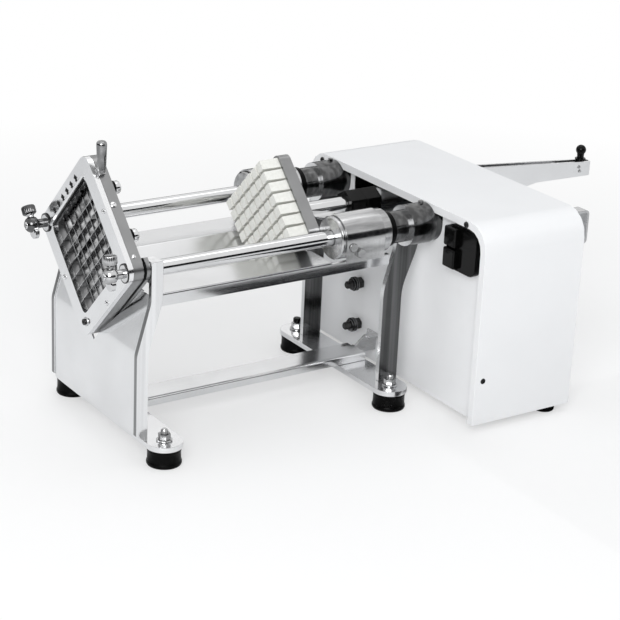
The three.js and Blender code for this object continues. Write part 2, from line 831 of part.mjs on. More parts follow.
// Carriage: two sleeves with welded wings, saddles over them, the pusher and its rod
function guideSleeve(side, sign) {
  const bore = rod.radius + sleeve.play;
  const tube = turned('x', [
    [bore, sleeveFrontX],
    [sleeve.radius - sleeve.chamfer, sleeveFrontX],
    [sleeve.radius, sleeveFrontX + sleeve.chamfer],
    [sleeve.radius, sleeveRearX - sleeve.chamfer],
    [sleeve.radius - sleeve.chamfer, sleeveRearX],
    [bore, sleeveRearX],
    [bore, sleeveFrontX],
  ], fineSides, 0, sign * rodOffset, axisZ);
  const plateZ = axisZ + wing.rise;
  const plate = extrudeZ(outline([
    [sleeveFrontX, sign * (rodOffset - wing.inner)],
    [sleeveFrontX, sign * (rodOffset - wing.corner)],
    [sleeveFrontX + wing.cornerReach, sign * (rodOffset - wing.outer)],
    [sleeveFrontX + wing.rearReach, sign * (rodOffset - wing.outer)],
  ]), plateZ, plateZ + wing.sheet);
  return piece(`guide_sleeve_${side}`, join(tube, plate), polished);
}

function saddlePiece(side, sign) {
  const frontX = sleeveFrontX + saddle.setback;
  const inner = sleeve.radius + clear;
  const outer = inner + saddle.sheet;
  const past = saddleWrapShare * Math.PI / 2;
  const wrap = [
    ...arc(0, 0, outer, 0, past, fineSides / 2),
    ...arc(0, 0, inner, past, 0, fineSides / 2),
    new THREE.Vector2(inner, -saddle.skirtDrop),
    new THREE.Vector2(outer, -saddle.skirtDrop),
  ].map((point) => new THREE.Vector2(sign * (rodOffset + point.x), axisZ + point.y));
  const face = rodOffset + outer;
  const sunk = face - saddle.sheet / 2;
  const screwX = frontX + saddle.screwInset;
  const boltX = frontX + saddle.boltInset;
  const screw = bar('y', saddle.screwRadius, ...spanY(sign, sunk, face + saddle.screwHeight), smallSides,
    screwX, 0, axisZ - saddle.screwRise);
  const bolt = bar('y', saddle.boltRadius, ...spanY(sign, sunk, face + saddle.boltHeight), hexagon,
    boltX, 0, axisZ - saddle.boltDrop);
  return piece(`saddle_${side}`, join(extrudeX(wrap, frontX, frontX + saddle.length), screw, bolt), polished);
}

function pusherSquare() {
  const group = new THREE.Group();
  const plateFront = pusherBackX - pusher.plate;
  const rimFront = plateFront - pusher.rimHeight;
  const tray = extrudeX(centredSquare(pusherSide, pusher.cornerRadius), rimFront, pusherBackX);
  const pocketSide = pusherSide - 2 * pusher.rim;
  const pocket = extrudeX(centredSquare(pocketSide, pusher.pocketRadius), rimFront - overrun, plateFront);
  const baseBack = plateFront - clear;
  const baseFront = baseBack - block.thickness;
  const base = extrudeX(centredSquare(blockSide, pusher.pocketRadius), baseFront, baseBack);
  const pegs = [];
  const rootRadius = block.pegSide * Math.SQRT1_2;
  const tipRadius = (block.pegSide - block.pegTaper) * Math.SQRT1_2;
  for (let row = 0; row < block.pegs; row++) {
    for (let column = 0; column < block.pegs; column++) {
      const y = (column - (block.pegs - 1) / 2) * blades.pitch;
      const z = (row - (block.pegs - 1) / 2) * blades.pitch;
      const root = baseFront + block.thickness / 2;
      const tip = baseFront - block.pegLength;
      const peg = new THREE.CylinderGeometry(rootRadius, tipRadius, root - tip, 4);
      peg.rotateY(Math.PI / 4).rotateZ(-Math.PI / 2).translate((root + tip) / 2, y, z);
      pegs.push(solidOf(peg));
    }
  }
  group.add(piece('pusher_plate', cut(tray, pocket), polished));
  group.add(piece('pusher_block', join(base, ...pegs), nylon));
  group.position.z = axisZ;
  group.rotation.x = Math.PI / 4;
  return group;
}

function pushRodPiece() {
  const threadEnd = ramFrontX + ram.grip;
  const profile = [
    [0, sleeveFrontX],
    [pushRod.radius, sleeveFrontX],
    [pushRod.radius, threadX],
    [pushRod.threadRadius, threadX],
    [pushRod.threadRadius, threadEnd],
    [0, threadEnd],
  ];
  return piece('push_rod', turned('x', profile, plainSides, 0, 0, axisZ), polished);
}

const threadBore = pushRod.threadRadius + pushRod.threadPlay;

function lockNutPiece(name, frontX) {
  const rearX = frontX + lockNut.length;
  const nut = bar('x', lockNut.radius, frontX, rearX, hexagon, 0, 0, axisZ);
  const bore = bar('x', threadBore, frontX - overrun, rearX + overrun, plainSides, 0, 0, axisZ);
  return piece(name, cut(nut, bore), moulded);
}

function ramBlock() {
  const body = bar('x', ram.radius, ramFrontX, ramRearX, plainSides, 0, 0, axisZ);
  const boreEnd = ramFrontX + ram.grip + clear;
  const bore = bar('x', threadBore, ramFrontX - overrun, boreEnd, plainSides, 0, 0, axisZ);
  const lug = box(ramRearX - ram.lugLength, ramRearX, 0, arm.innerY - clear,
    axisZ - ram.lugDrop, axisZ + ram.lugRise);
  return piece('ram_block', join(cut(body, bore), lug), brushed);
}

// Pull arm: a hairpin of strip with the rack between its plates and a knob near its end
function pullArm() {
  const radius = arm.width / 2;
  const innerRadius = radius - arm.sheet;
  const bendX = armRearX - radius;
  const noseX = armFrontX + arm.noseLength;
  const hairpin = [
    new THREE.Vector2(armFrontX, arm.innerY),
    ...arc(bendX, armMiddle, radius, -Math.PI / 2, Math.PI / 2, smallSides),
    new THREE.Vector2(armFrontX, armOuterY),
    new THREE.Vector2(armFrontX, armOuterY - arm.sheet),
    ...arc(bendX, armMiddle, innerRadius, Math.PI / 2, -Math.PI / 2, smallSides),
    new THREE.Vector2(armFrontX, arm.innerY + arm.sheet),
  ];
  const strip = extrudeZ(hairpin, arm.bottom - overrun, arm.top + overrun);
  const sideView = extrudeY(outline([
    [armFrontX, arm.noseZ],
    [noseX, arm.bottom],
    [housingRearX + arm.bendReach, arm.bottom],
    [housingRearX + arm.riseReach, arm.riseZ],
    [armRearX, arm.rearBottom],
    [armRearX, arm.rearTop],
    [housingRearX, arm.top],
    [armFrontX, arm.top],
  ]), arm.innerY - overrun, armOuterY + overrun);
  return piece('pull_arm', strip.intersect(sideView), polished);
}

function driveRack() {
  const root = rack.pitchZ + rootShare * gear.module;
  const tip = rack.pitchZ - gear.module;
  const frontX = gearX - rack.teethAhead * toothPitch;
  const rearX = gearX + teethBehind * toothPitch;
  const slope = Math.tan(gear.pressureAngle);
  const halfPitch = toothShare * toothPitch / 2;
  const halfRoot = halfPitch + (root - rack.pitchZ) * slope;
  const halfTip = halfPitch - (rack.pitchZ - tip) * slope;
  const teeth = [];
  for (let tooth = -rack.teethAhead; tooth < teethBehind; tooth++) {
    const x = gearX + (tooth + 0.5) * toothPitch;
    teeth.push([x - halfRoot, root], [x - halfTip, tip], [x + halfTip, tip], [x + halfRoot, root]);
  }
  const side = outline([[frontX, root], ...teeth, [rearX, root], [rearX, rack.top], [frontX, rack.top]]);
  const from = arm.innerY + arm.sheet + clear;
  const to = armOuterY - arm.sheet - clear;
  return piece('drive_rack', extrudeY(side, from, to), castGrey);
}

function armKnob() {
  const slopeShare = (knobX - housingRearX) / arm.reach;
  const low = arm.top - (arm.top - arm.rearTop) * slopeShare + clear + knob.collarHeight / 2;
  const top = low + knob.height;
  const ball = top - knob.ballRadius;
  const dome = arc(0, ball, knob.ballRadius, -Math.PI / 4, Math.PI / 2, smallSides);
  const profile = [
    [0, low - 2 * knob.stemRadius],
    [knob.stemRadius, low - 2 * knob.stemRadius],
    [knob.stemRadius, low],
    [knob.collarRadius, low],
    [knob.collarRadius, low + knob.collarHeight],
    [knob.neckRadius, low + knob.collarHeight],
    ...dome.slice(0, -1).map((point) => [point.x, point.y]),
    [0, top],
  ];
  return piece('arm_knob', turned('z', profile, plainSides, knobX, armMiddle, 0), moulded);
}

// Drive gear: involute flanks worked out from the module, teeth and pressure angle
function driveGear() {
  const baseRadius = pitchRadius * Math.cos(gear.pressureAngle);
  const tipRadius = pitchRadius + gear.module;
  const rootRadius = pitchRadius - rootShare * gear.module;
  const involute = (angle) => Math.tan(angle) - angle;
  const halfAtPitch = toothShare * toothPitch / 2 / pitchRadius;
  const halfAt = (radius) => (
    halfAtPitch + involute(gear.pressureAngle) - involute(Math.acos(Math.min(1, baseRadius / radius)))
  );
  const flank = [rootRadius, ...flankShares.map((share) => baseRadius + share * (tipRadius - baseRadius))];
  const points = [];
  for (let tooth = 0; tooth < gear.teeth; tooth++) {
    const middle = Math.PI / 2 + tooth * 2 * Math.PI / gear.teeth;
    const rising = flank.map((radius) => [radius, middle - halfAt(Math.max(radius, baseRadius))]);
    const falling = flank.map((radius) => [radius, middle + halfAt(Math.max(radius, baseRadius))]).reverse();
    [...rising, ...falling].forEach(([radius, angle]) => {
      points.push(new THREE.Vector2(gearX + radius * Math.cos(angle), gearZ + radius * Math.sin(angle)));
    });
  }
  const from = armMiddle - gear.width / 2;
  const to = armMiddle + gear.width / 2;
  const wheel = extrudeY(points, from, to);
  const shaftEnd = gearboxFarY - gearbox.shaftDepth;
  const shaft = bar('y', gear.shaftRadius, shaftEnd, armMiddle, plainSides, gearX, 0, gearZ);
  return piece('drive_gear', join(wheel, shaft), castGrey);
}

// Motor housing: cover, front panel and the chassis with its back panel
const housingFootX = housingRearX - housingFoot.rearInset;
const housingFootPlaces = [
  ['near', housing.nearY + housingFoot.inset],
  ['far', housing.farY - housingFoot.inset],
];

function housingSection(inset, low) {
  const radius = housing.cornerRadius - inset;
  return outline([
    [housing.nearY + inset, low],
    [housing.nearY + inset, housing.top - inset, radius],
    [housing.farY - inset, housing.top - inset, radius],
    [housing.farY - inset, low],
  ]);
}

function housingCover() {
  const shell = extrudeX(housingSection(0, housing.bottom), housingFrontX, housingRearX);
  const low = housing.bottom - overrun;
  const innerX = housingFrontX + housing.sheet;
  const hollow = extrudeX(housingSection(housing.sheet, low), innerX, housingRearX + overrun);
  const mouth = extrudeX(housingSection(housing.lip, low), housingFrontX - overrun, housingRearX);
  const tubeCuts = sides.map(([, sign]) => (
    bar('x', coverTube.radius + clear, housingFrontX - overrun, innerX + overrun, fineSides,
      0, sign * rodOffset, axisZ)
  ));
  return piece('housing_cover', cut(shell, hollow, mouth, ...tubeCuts), satin);
}

function housingFrontPanel() {
  const inset = housing.sheet + clear;
  const from = panelX - overrun;
  const to = panelBackX + overrun;
  const sheet = extrudeX(housingSection(inset, housing.baseZ), panelX, panelBackX);
  const radius = coverTube.radius + clear;
  const half = rodOffset - radius - housing.webWidth;
  const window = rectangle(-half, half, axisZ - housing.cutDrop, housing.top, housing.lip);
  const armCut = extrudeX(window, from, to);
  const tubeCuts = sides.flatMap(([, sign]) => {
    const y = sign * rodOffset;
    const slot = box(from, to, y - radius, y + radius, axisZ, housing.top);
    return [bar('x', radius, from, to, fineSides, 0, y, axisZ), slot];
  });
  const boltCuts = [panelBolt.upperZ, panelBolt.lowerZ].map((z) => (
    bar('x', panelBolt.radius + panelBolt.play, from, to, smallSides, 0, panelBolt.y, z)
  ));
  return piece('housing_front_panel', cut(sheet, armCut, ...tubeCuts, ...boltCuts), polished);
}

function housingChassis() {
  const inset = housing.sheet + clear;
  const innerX = backPanelX - housing.sheet;
  const base = box(panelBackX + clear, backPanelX, housing.nearY + inset, housing.farY - inset,
    housing.baseZ, housing.baseZ + housing.sheet);
  const back = extrudeX(housingSection(inset, housing.baseZ), innerX, backPanelX);
  const slot = box(innerX - overrun, backPanelX + overrun,
    arm.innerY - rearSlot.sideGap, armOuterY + rearSlot.sideGap,
    arm.bottom - rearSlot.lowGap, arm.top + rearSlot.highGap);
  const glandRadius = gland.threadRadius + gland.play;
  const glandHole = bar('x', glandRadius, innerX - overrun, backPanelX + overrun, plainSides,
    0, glandY, glandZ);
  const footHoles = housingFootPlaces.map(([, y]) => (
    bar('z', housingFoot.studRadius + clear, housing.baseZ - overrun, housing.baseZ + housing.sheet + overrun,
      smallSides, housingFootX, y, 0)
  ));
  return piece('housing_chassis', cut(join(base, back), slot, glandHole, ...footHoles), satin);
}

function housingFootPiece(side, y) {
  const padTop = housing.baseZ - clear;
  const nutLow = housing.baseZ + housing.sheet + clear;
  const nutTop = nutLow + housingFoot.nutHeight;
  const pad = turned('z', [
    [0, 0],
    [housingFoot.radius, 0],
    [housingFoot.radius, padTop],
    [housingFoot.studRadius, padTop],
    [housingFoot.studRadius, nutTop + housingFoot.studEnd],
    [0, nutTop + housingFoot.studEnd],
  ], plainSides, housingFootX, y, 0);
  const nut = bar('z', housingFoot.nutRadius, nutLow, nutTop, hexagon, housingFootX, y, 0);
  return piece(`housing_foot_${side}`, join(pad, nut), rubber);
}

// Drive inside the housing
function driveMotor() {
  const nearY = housing.nearY + motor.sideInset;
  const farY = gearboxNearY - clear;
  const capY = nearY + motor.capLength;
  const profile = [
    [0, nearY],
    [motor.capRadius, nearY],
    [motor.radius, capY],
    [motor.radius, farY - motor.rimLength],
    [motor.rimRadius, farY - motor.rimLength],
    [motor.rimRadius, farY],
    [0, farY],
  ];
  return piece('drive_motor', turned('y', profile, fineSides, gearX, 0, motor.z), castGrey);
}

function gearboxPiece() {
  const low = housing.baseZ + housing.sheet + clear;
  const { halfLength, top, cornerRadius } = gearbox;
  const side = rectangle(gearX - halfLength, gearX + halfLength, low, top, cornerRadius);
  const body = extrudeY(side, gearboxNearY, gearboxFarY);
  const shaftBore = bar('y', gear.shaftRadius + gear.shaftPlay, gearboxFarY - gearbox.shaftDepth - clear,
    gearboxFarY + overrun, plainSides, gearX, 0, gearZ);
  return piece('gearbox', cut(body, shaftBore), castGrey);
}

// Controls on the front panel's near side
const switchNearY = housing.nearY + switchBox.sideInset;
const switchFarY = switchNearY + switchBox.width;
const switchTop = housing.top - switchBox.topInset;
const switchMiddle = switchTop - switchBox.height / 2;
const buttonFarY = switchFarY - button.inset;
const buttonNearY = buttonFarY - button.width;
const startZ = switchMiddle + button.pitch / 2;
const returnZ = switchMiddle - button.pitch / 2;

function switchBoxPiece() {
  const low = switchTop - switchBox.height;
  const section = rectangle(switchNearY, switchFarY, low, switchTop, switchBox.cornerRadius);
  const body = extrudeX(section, switchFrontX, panelX - clear);
  const wellX = switchFrontX + button.depth + button.travel + clear;
  const half = button.height / 2 + clear;
  const wells = [startZ, returnZ].map((z) => (
    box(switchFrontX - overrun, wellX, buttonNearY - clear, buttonFarY + clear, z - half, z + half)
  ));
  return piece('switch_box', cut(body, ...wells), moulded);
}

function buttonPiece(name, z) {
  const front = switchFrontX - button.reach;
  const back = switchFrontX + button.depth;
  const low = z - button.height / 2;
  const high = z + button.height / 2;
  const fromTop = extrudeZ(outline([
    [back, buttonNearY],
    [front, buttonNearY, button.edge],
    [front, buttonFarY, button.edge],
    [back, buttonFarY],
  ]), low, high);
  const fromSide = extrudeY(outline([
    [back, low],
    [front, low, button.edge],
    [front, high, button.edge],
    [back, high],
  ]), buttonNearY, buttonFarY);
  return piece(name, fromTop.intersect(fromSide), moulded);
}

function rearStrap() {
  const backX = backPanelX + clear;
  const reachX = housingRearX + strap.reach;
  const top = housing.top - strap.topInset;
  const bottom = top - strap.height;
  const nearY = housing.nearY + strap.sideInset;
  const { sheet, bendRadius } = strap;
  const side = outline([
    [backX, top],
    [reachX, top, bendRadius],
    [reachX, bottom, bendRadius],
    [backX, bottom],
    [backX, bottom + sheet],
    [reachX - sheet, bottom + sheet, bendRadius - sheet],
    [reachX - sheet, top - sheet, bendRadius - sheet],
    [backX, top - sheet],
  ]);
  return piece('rear_strap', extrudeY(side, nearY, nearY + strap.width), brushed);
}

function panelBoltPiece(name, z) {
  const face = panelX - clear;
  const washerX = face - panelBolt.washerLength;
  const tailX = panelBackX + clear;
  const endX = tailX + panelBolt.tail;
  const stud = bar('x', panelBolt.radius, panelX - panelBolt.reach, endX, smallSides, 0, panelBolt.y, z);
  const washer = bar('x', panelBolt.washerRadius, washerX, face, plainSides, 0, panelBolt.y, z);
  const nut = bar('x', panelBolt.nutRadius, washerX - panelBolt.nutLength, face, hexagon, 0, panelBolt.y, z);
  const backNut = bar('x', panelBolt.nutRadius, tailX, endX, hexagon, 0, panelBolt.y, z);
  return piece(name, join(stud, washer, nut, backNut), brushed);
}

function cableGland() {
  const insideX = backPanelX - housing.sheet - clear;
  const outsideX = backPanelX + clear;
  const innerEnd = insideX - gland.nutLength;
  const outerEnd = outsideX + gland.nutLength;
  const tipX = outerEnd + gland.capLength;
  const body = turned('x', [
    [gland.bore, innerEnd],
    [gland.threadRadius, innerEnd],
    [gland.threadRadius, outerEnd],
    [gland.capRadius, outerEnd],
    [gland.bore + gland.play, tipX],
    [gland.bore, tipX],
    [gland.bore, innerEnd],
  ], plainSides, 0, glandY, glandZ);
  const hole = bar('x', gland.bore, innerEnd - overrun, outerEnd + overrun, plainSides, 0, glandY, glandZ);
  const insideNut = bar('x', gland.nutRadius, innerEnd, insideX, hexagon, 0, glandY, glandZ);
  const outsideNut = bar('x', gland.nutRadius, outsideX, outerEnd, hexagon, 0, glandY, glandZ);
  return piece('cable_gland', join(body, cut(join(insideNut, outsideNut), hole)), moulded);
}

// The whole machine
const machine = new THREE.Group();
machine.add(
  footPlatePiece('front_foot_plate', frontPlateX, frontSpread),
  footPlatePiece('rear_foot_plate', rearPlateX, rearSpread),
  stretcherBar(),
  standBracket(),
  frontPanelPiece(),
  bladeSquare(),
  feedTrough(),
  pusherSquare(),
  pushRodPiece(),
  lockNutPiece('rod_lock_nut_front', frontNutX),
  lockNutPiece('rod_lock_nut_rear', rearNutX),
  ramBlock(),
  driveRack(),
  pullArm(),
  armKnob(),
  housingCover(),
  housingFrontPanel(),
  housingChassis(),
  driveMotor(),
  gearboxPiece(),
  driveGear(),
  switchBoxPiece(),
  buttonPiece('start_button', startZ),
  buttonPiece('return_button', returnZ),
  rearStrap(),
  panelBoltPiece('panel_bolt_upper', panelBolt.upperZ),
  panelBoltPiece('panel_bolt_lower', panelBolt.lowerZ),
  cableGland(),
);
for (const [side, sign] of sides) {
  machine.add(
    rubberFoot(`foot_front_${side}`, frontPlateX, sign * frontSpread),
    rubberFoot(`foot_rear_${side}`, rearPlateX, sign * rearSpread),
    frontLegPiece(side, sign),
    rearLegPiece(side, sign),
    guideRod(side, sign),
    rodBuffer(side, sign),
    coverTubePiece(side, sign),
    wingNutPiece(side, sign),
    troughRail(side, sign),
    guideSleeve(side, sign),
    saddlePiece(side, sign),
  );
}
for (const [side, y] of housingFootPlaces) {
  machine.add(housingFootPiece(side, y));
}

const reach = new THREE.Box3().setFromObject(machine, true);
const middle = reach.getCenter(new THREE.Vector3());
machine.position.set(-middle.x, -middle.y, -reach.min.z);
const group = new THREE.Group();
group.add(machine);

export default group;
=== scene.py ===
import json
from math import cos, pi, radians, sin, sqrt

import bmesh
import bpy
from mathutils import Matrix, Vector


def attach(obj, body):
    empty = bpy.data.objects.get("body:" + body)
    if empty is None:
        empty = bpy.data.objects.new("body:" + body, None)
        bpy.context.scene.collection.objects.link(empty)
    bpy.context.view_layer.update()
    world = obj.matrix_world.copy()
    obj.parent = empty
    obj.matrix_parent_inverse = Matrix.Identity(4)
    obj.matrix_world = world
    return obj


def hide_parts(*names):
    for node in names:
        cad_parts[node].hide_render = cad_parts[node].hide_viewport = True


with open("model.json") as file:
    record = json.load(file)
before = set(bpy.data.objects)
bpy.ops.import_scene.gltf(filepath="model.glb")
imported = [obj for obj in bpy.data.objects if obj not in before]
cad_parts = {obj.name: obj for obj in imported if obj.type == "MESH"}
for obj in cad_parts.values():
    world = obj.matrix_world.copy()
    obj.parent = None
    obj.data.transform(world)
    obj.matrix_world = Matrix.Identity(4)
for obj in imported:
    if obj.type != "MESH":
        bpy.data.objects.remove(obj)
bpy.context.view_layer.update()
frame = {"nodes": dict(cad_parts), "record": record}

MM = 0.001
NODES = frame["nodes"]

# Places are in millimetres from the front foot plate's middle, the stand's centre plane and the floor
ORIGIN = Vector((-312.9, 29.0, 0))
SIDES = (("near", -1), ("far", 1))

# Height of the blade square's middle and of the guide rods, and the rods' distance from the centre plane
AXIS_Z = 214
ROD_SPREAD = 90

# The blade square: half its side, the radius of its corners and the front face of its clamp frame
SQUARE_HALF = 73.5
SQUARE_CORNER = 14
CLAMP_FRONT = -40.9


def at(x, y, z):
    return (ORIGIN + Vector((x, y, z))) * MM


# Camera: the photograph is 620 pixels square, and the pose is fitted to the machine's edges in it
IMAGE_SIZE = 620
FOCAL_PX = 1893.44
SENSOR = 36.0
CAMERA_AZIMUTH = radians(-34.23)
CAMERA_ELEVATION = radians(21.03)
CAMERA_ROLL = radians(2.66)
CAMERA_DISTANCE = 2177.35 * MM
CAMERA_TARGET = at(248.19, 0, 92.69)
CAMERA_CLIP = (0.05, 20)


def make_camera():
    across, up = cos(CAMERA_ELEVATION), sin(CAMERA_ELEVATION)
    back = Vector((sin(CAMERA_AZIMUTH) * across, -cos(CAMERA_AZIMUTH) * across, up))
    right = Vector((cos(CAMERA_AZIMUTH), sin(CAMERA_AZIMUTH), 0))
    top = back.cross(right)
    rolled_right = right * cos(CAMERA_ROLL) + top * sin(CAMERA_ROLL)
    rolled_top = top * cos(CAMERA_ROLL) - right * sin(CAMERA_ROLL)
    turn = Matrix((rolled_right, rolled_top, back)).transposed()
    data = bpy.data.cameras.new("photo_camera")
    data.sensor_width = SENSOR
    data.lens = FOCAL_PX / IMAGE_SIZE * SENSOR
    data.clip_start, data.clip_end = CAMERA_CLIP
    camera = bpy.data.objects.new("photo_camera", data)
    camera.matrix_world = Matrix.Translation(CAMERA_TARGET + back * CAMERA_DISTANCE) @ turn.to_4x4()
    bpy.context.scene.collection.objects.link(camera)
    bpy.context.scene.camera = camera


# Materials
def new_material(name):
    material = bpy.data.materials.new(name)
    material.use_nodes = True
    tree = material.node_tree
    return material, tree, tree.nodes["Principled BSDF"]


def add(tree, kind, **values):
    node = tree.nodes.new(kind)
    for key, value in values.items():
        setattr(node, key, value)
    return node


def noise_of(tree, scale, stretch=(1, 1, 1), detail=3.0, roughness=0.5):
    place = add(tree, "ShaderNodeTexCoord")
    mapping = add(tree, "ShaderNodeMapping")
    mapping.inputs["Scale"].default_value = stretch
    noise = add(tree, "ShaderNodeTexNoise")
    noise.inputs["Scale"].default_value = scale
    noise.inputs["Detail"].default_value = detail
    noise.inputs["Roughness"].default_value = roughness
    tree.links.new(place.outputs["Object"], mapping.inputs["Vector"])
    tree.links.new(mapping.outputs["Vector"], noise.inputs["Vector"])
    return noise.outputs["Fac"]


def ramp(tree, factor, start, end, low_at=0.3, high_at=0.7):
    node = add(tree, "ShaderNodeValToRGB")
    node.color_ramp.elements[0].position = low_at
    node.color_ramp.elements[1].position = high_at
    node.color_ramp.elements[0].color = (*start, 1)
    node.color_ramp.elements[1].color = (*end, 1)
    tree.links.new(factor, node.inputs["Fac"])
    return node.outputs["Color"]


def bump(tree, shader, height, strength, distance):
    node = add(tree, "ShaderNodeBump")
    node.inputs["Strength"].default_value = strength
    node.inputs["Distance"].default_value = distance
    tree.links.new(height, node.inputs["Height"])
    tree.links.new(node.outputs["Normal"], shader.inputs["Normal"])


# Brush marks run along the axis whose stretch is small
ALONG_X = (18, 650, 650)
ALONG_Y = (650, 18, 650)
ALONG_Z = (650, 650, 18)
ROUND_X = (650, 30, 30)

# The same for the broad clouds of drawn bars
DRAWN_ALONG_X = (0.3, 2, 2)

# The clouds of light and dark on a sheet, per metre, and the height of its brush marks in metres
CLOUD_SCALE = 14.0
BRUSH_HEIGHT = 0.0001


def steel(name, light, dark, smooth, rough, grain=ALONG_X, relief=0.05, metal=1.0,
          cloud=CLOUD_SCALE, drawn=(1, 1, 1)):
    material, tree, shader = new_material(name)
    shader.inputs["Metallic"].default_value = metal
    broad = noise_of(tree, cloud, drawn, detail=4.0)
    tree.links.new(ramp(tree, broad, dark, light), shader.inputs["Base Color"])
    fine = noise_of(tree, 1.0, grain, detail=4.0, roughness=0.6)
    tree.links.new(ramp(tree, fine, (smooth,) * 3, (rough,) * 3), shader.inputs["Roughness"])
    bump(tree, shader, fine, relief, BRUSH_HEIGHT)
    return material


# Plates with painted light and shade: their faces across X get another colour than the rest, painted bright
# or dark by which way they face, and the rest has upright streaks of painted reflection
STREAKS_UP = (160, 160, 3)
STREAK_FROM, STREAK_TO = 0.38, 0.62
MOTTLE = 0.2
FRONT_FROM, FRONT_TO = 0.75, 1.1


def painted_light_steel(name, front, side, streak, smooth, rough):
    material, tree, shader = new_material(name)
    shader.inputs["Metallic"].default_value = 1.0
    streaks = ramp(tree, noise_of(tree, 1.0, STREAKS_UP, detail=2.0), streak, side, STREAK_FROM, STREAK_TO)
    place = add(tree, "ShaderNodeTexCoord")
    parts = add(tree, "ShaderNodeSeparateXYZ")
    tree.links.new(place.outputs["Normal"], parts.inputs[0])
    facing = add(tree, "ShaderNodeMath", operation="ABSOLUTE")
    tree.links.new(parts.outputs["X"], facing.inputs[0])
    cloud = noise_of(tree, CLOUD_SCALE, detail=4.0)
    mottled = add(tree, "ShaderNodeMath", operation="MULTIPLY_ADD")
    mottled.inputs[1].default_value = MOTTLE
    tree.links.new(cloud, mottled.inputs[0])
    tree.links.new(facing.outputs[0], mottled.inputs[2])
    share = ramp(tree, mottled.outputs[0], (0,) * 3, (1,) * 3, FRONT_FROM, FRONT_TO)
    blend = add(tree, "ShaderNodeMix", data_type="RGBA")
    blend.inputs["B"].default_value = (*front, 1)
    tree.links.new(share, blend.inputs["Factor"])
    tree.links.new(streaks, blend.inputs["A"])
    tree.links.new(blend.outputs["Result"], shader.inputs["Base Color"])
    fine = noise_of(tree, 1.0, ALONG_Z, detail=4.0, roughness=0.6)
    tree.links.new(ramp(tree, fine, (smooth,) * 3, (rough,) * 3), shader.inputs["Roughness"])
    return material


# Speckle per metre, how much coarser the wear is, and the height of the speckle in metres
SPECKLE_SCALE = 300.0
WEAR_COARSER = 12
SPECKLE_HEIGHT = 0.0002


def plastic(name, light, dark, smooth, rough, relief=0.2, specular=0.3):
    material, tree, shader = new_material(name)
    shader.inputs["Specular IOR Level"].default_value = specular
    speckle = noise_of(tree, SPECKLE_SCALE, detail=4.0)
    tree.links.new(ramp(tree, speckle, dark, light), shader.inputs["Base Color"])
    wear = noise_of(tree, SPECKLE_SCALE / WEAR_COARSER, detail=3.0)
    tree.links.new(ramp(tree, wear, (smooth,) * 3, (rough,) * 3), shader.inputs["Roughness"])
    bump(tree, shader, speckle, relief, SPECKLE_HEIGHT)
    return material


# Steel greys lean a little to blue
def grey(value):
    return (value, value * 1.005, value * 1.015)


# Each has its light and dark colours, then its least and greatest roughness
NEAR_BLACK = ((0.003,) * 3, (0.001,) * 3)
BRIGHT = steel("bright_steel", grey(0.84), grey(0.76), 0.12, 0.22, ALONG_Z)
POLISHED = steel("polished_steel", grey(0.72), grey(0.62), 0.06, 0.12)
BRUSHED = steel("brushed_steel", grey(0.58), grey(0.48), 0.2, 0.3)
SMOOTH_SHEET = steel("smooth_sheet", grey(0.78), grey(0.7), 0.16, 0.24, relief=0.02)
CASSETTE = steel("cassette_steel", grey(0.3), grey(0.22), 0.28, 0.36, relief=0)
TURNED = steel("turned_steel", grey(0.66), grey(0.24), 0.12, 0.22, ROUND_X, relief=0.04, cloud=45.0,
               drawn=DRAWN_ALONG_X)
# Dark steel; on the cover tubes it is painted reflection of the dark inside, and on the far wing nut
# painted shade
DARK = steel("dark_steel", grey(0.15), grey(0.07), 0.12, 0.24, cloud=40.0, drawn=DRAWN_ALONG_X)
# Rear legs: a painted highlight on the faces across X, painted shade and streaks of painted reflection on
# the rest
LEG = painted_light_steel("leg_steel", grey(0.7), grey(0.15), grey(0.08), 0.14, 0.24)
# Front legs: painted shade on the faces across X, the rest bright
FRONT_LEG = painted_light_steel("front_leg_steel", grey(0.24), grey(0.84), grey(0.74), 0.1, 0.16)
# The blades' colour runs in small clouds from light to near black: painted highlights and painted shade in
# the grid's cells
BLADES = steel("blade_steel", grey(0.62), grey(0.06), 0.08, 0.2, ALONG_Z, cloud=110.0)
HANDLE = steel("handle_steel", grey(0.36), grey(0.16), 0.1, 0.2, ALONG_Z, cloud=90.0)
SATIN = steel("satin_steel", grey(0.9), grey(0.87), 0.4, 0.5, ALONG_Z, metal=0.1)
COVER = steel("cover_steel", grey(0.87), grey(0.85), 0.5, 0.6, ALONG_Y, relief=0.02, metal=0.1)
RUBBER = plastic("black_rubber", *NEAR_BLACK, 0.22, 0.34, relief=0.05, specular=0.07)
BLACK = plastic("black_plastic", *NEAR_BLACK, 0.08, 0.16, relief=0.02, specular=0.14)
BLACKENED = plastic("blackened_steel", (0.02,) * 3, (0.008,) * 3, 0.2, 0.34, relief=0.06)
NYLON = plastic("white_nylon", (0.82, 0.82, 0.78), (0.74, 0.74, 0.7), 0.35, 0.5, relief=0.08)
CAST = plastic("drive_metal", (0.2, 0.21, 0.22), (0.1, 0.11, 0.12), 0.4, 0.6)

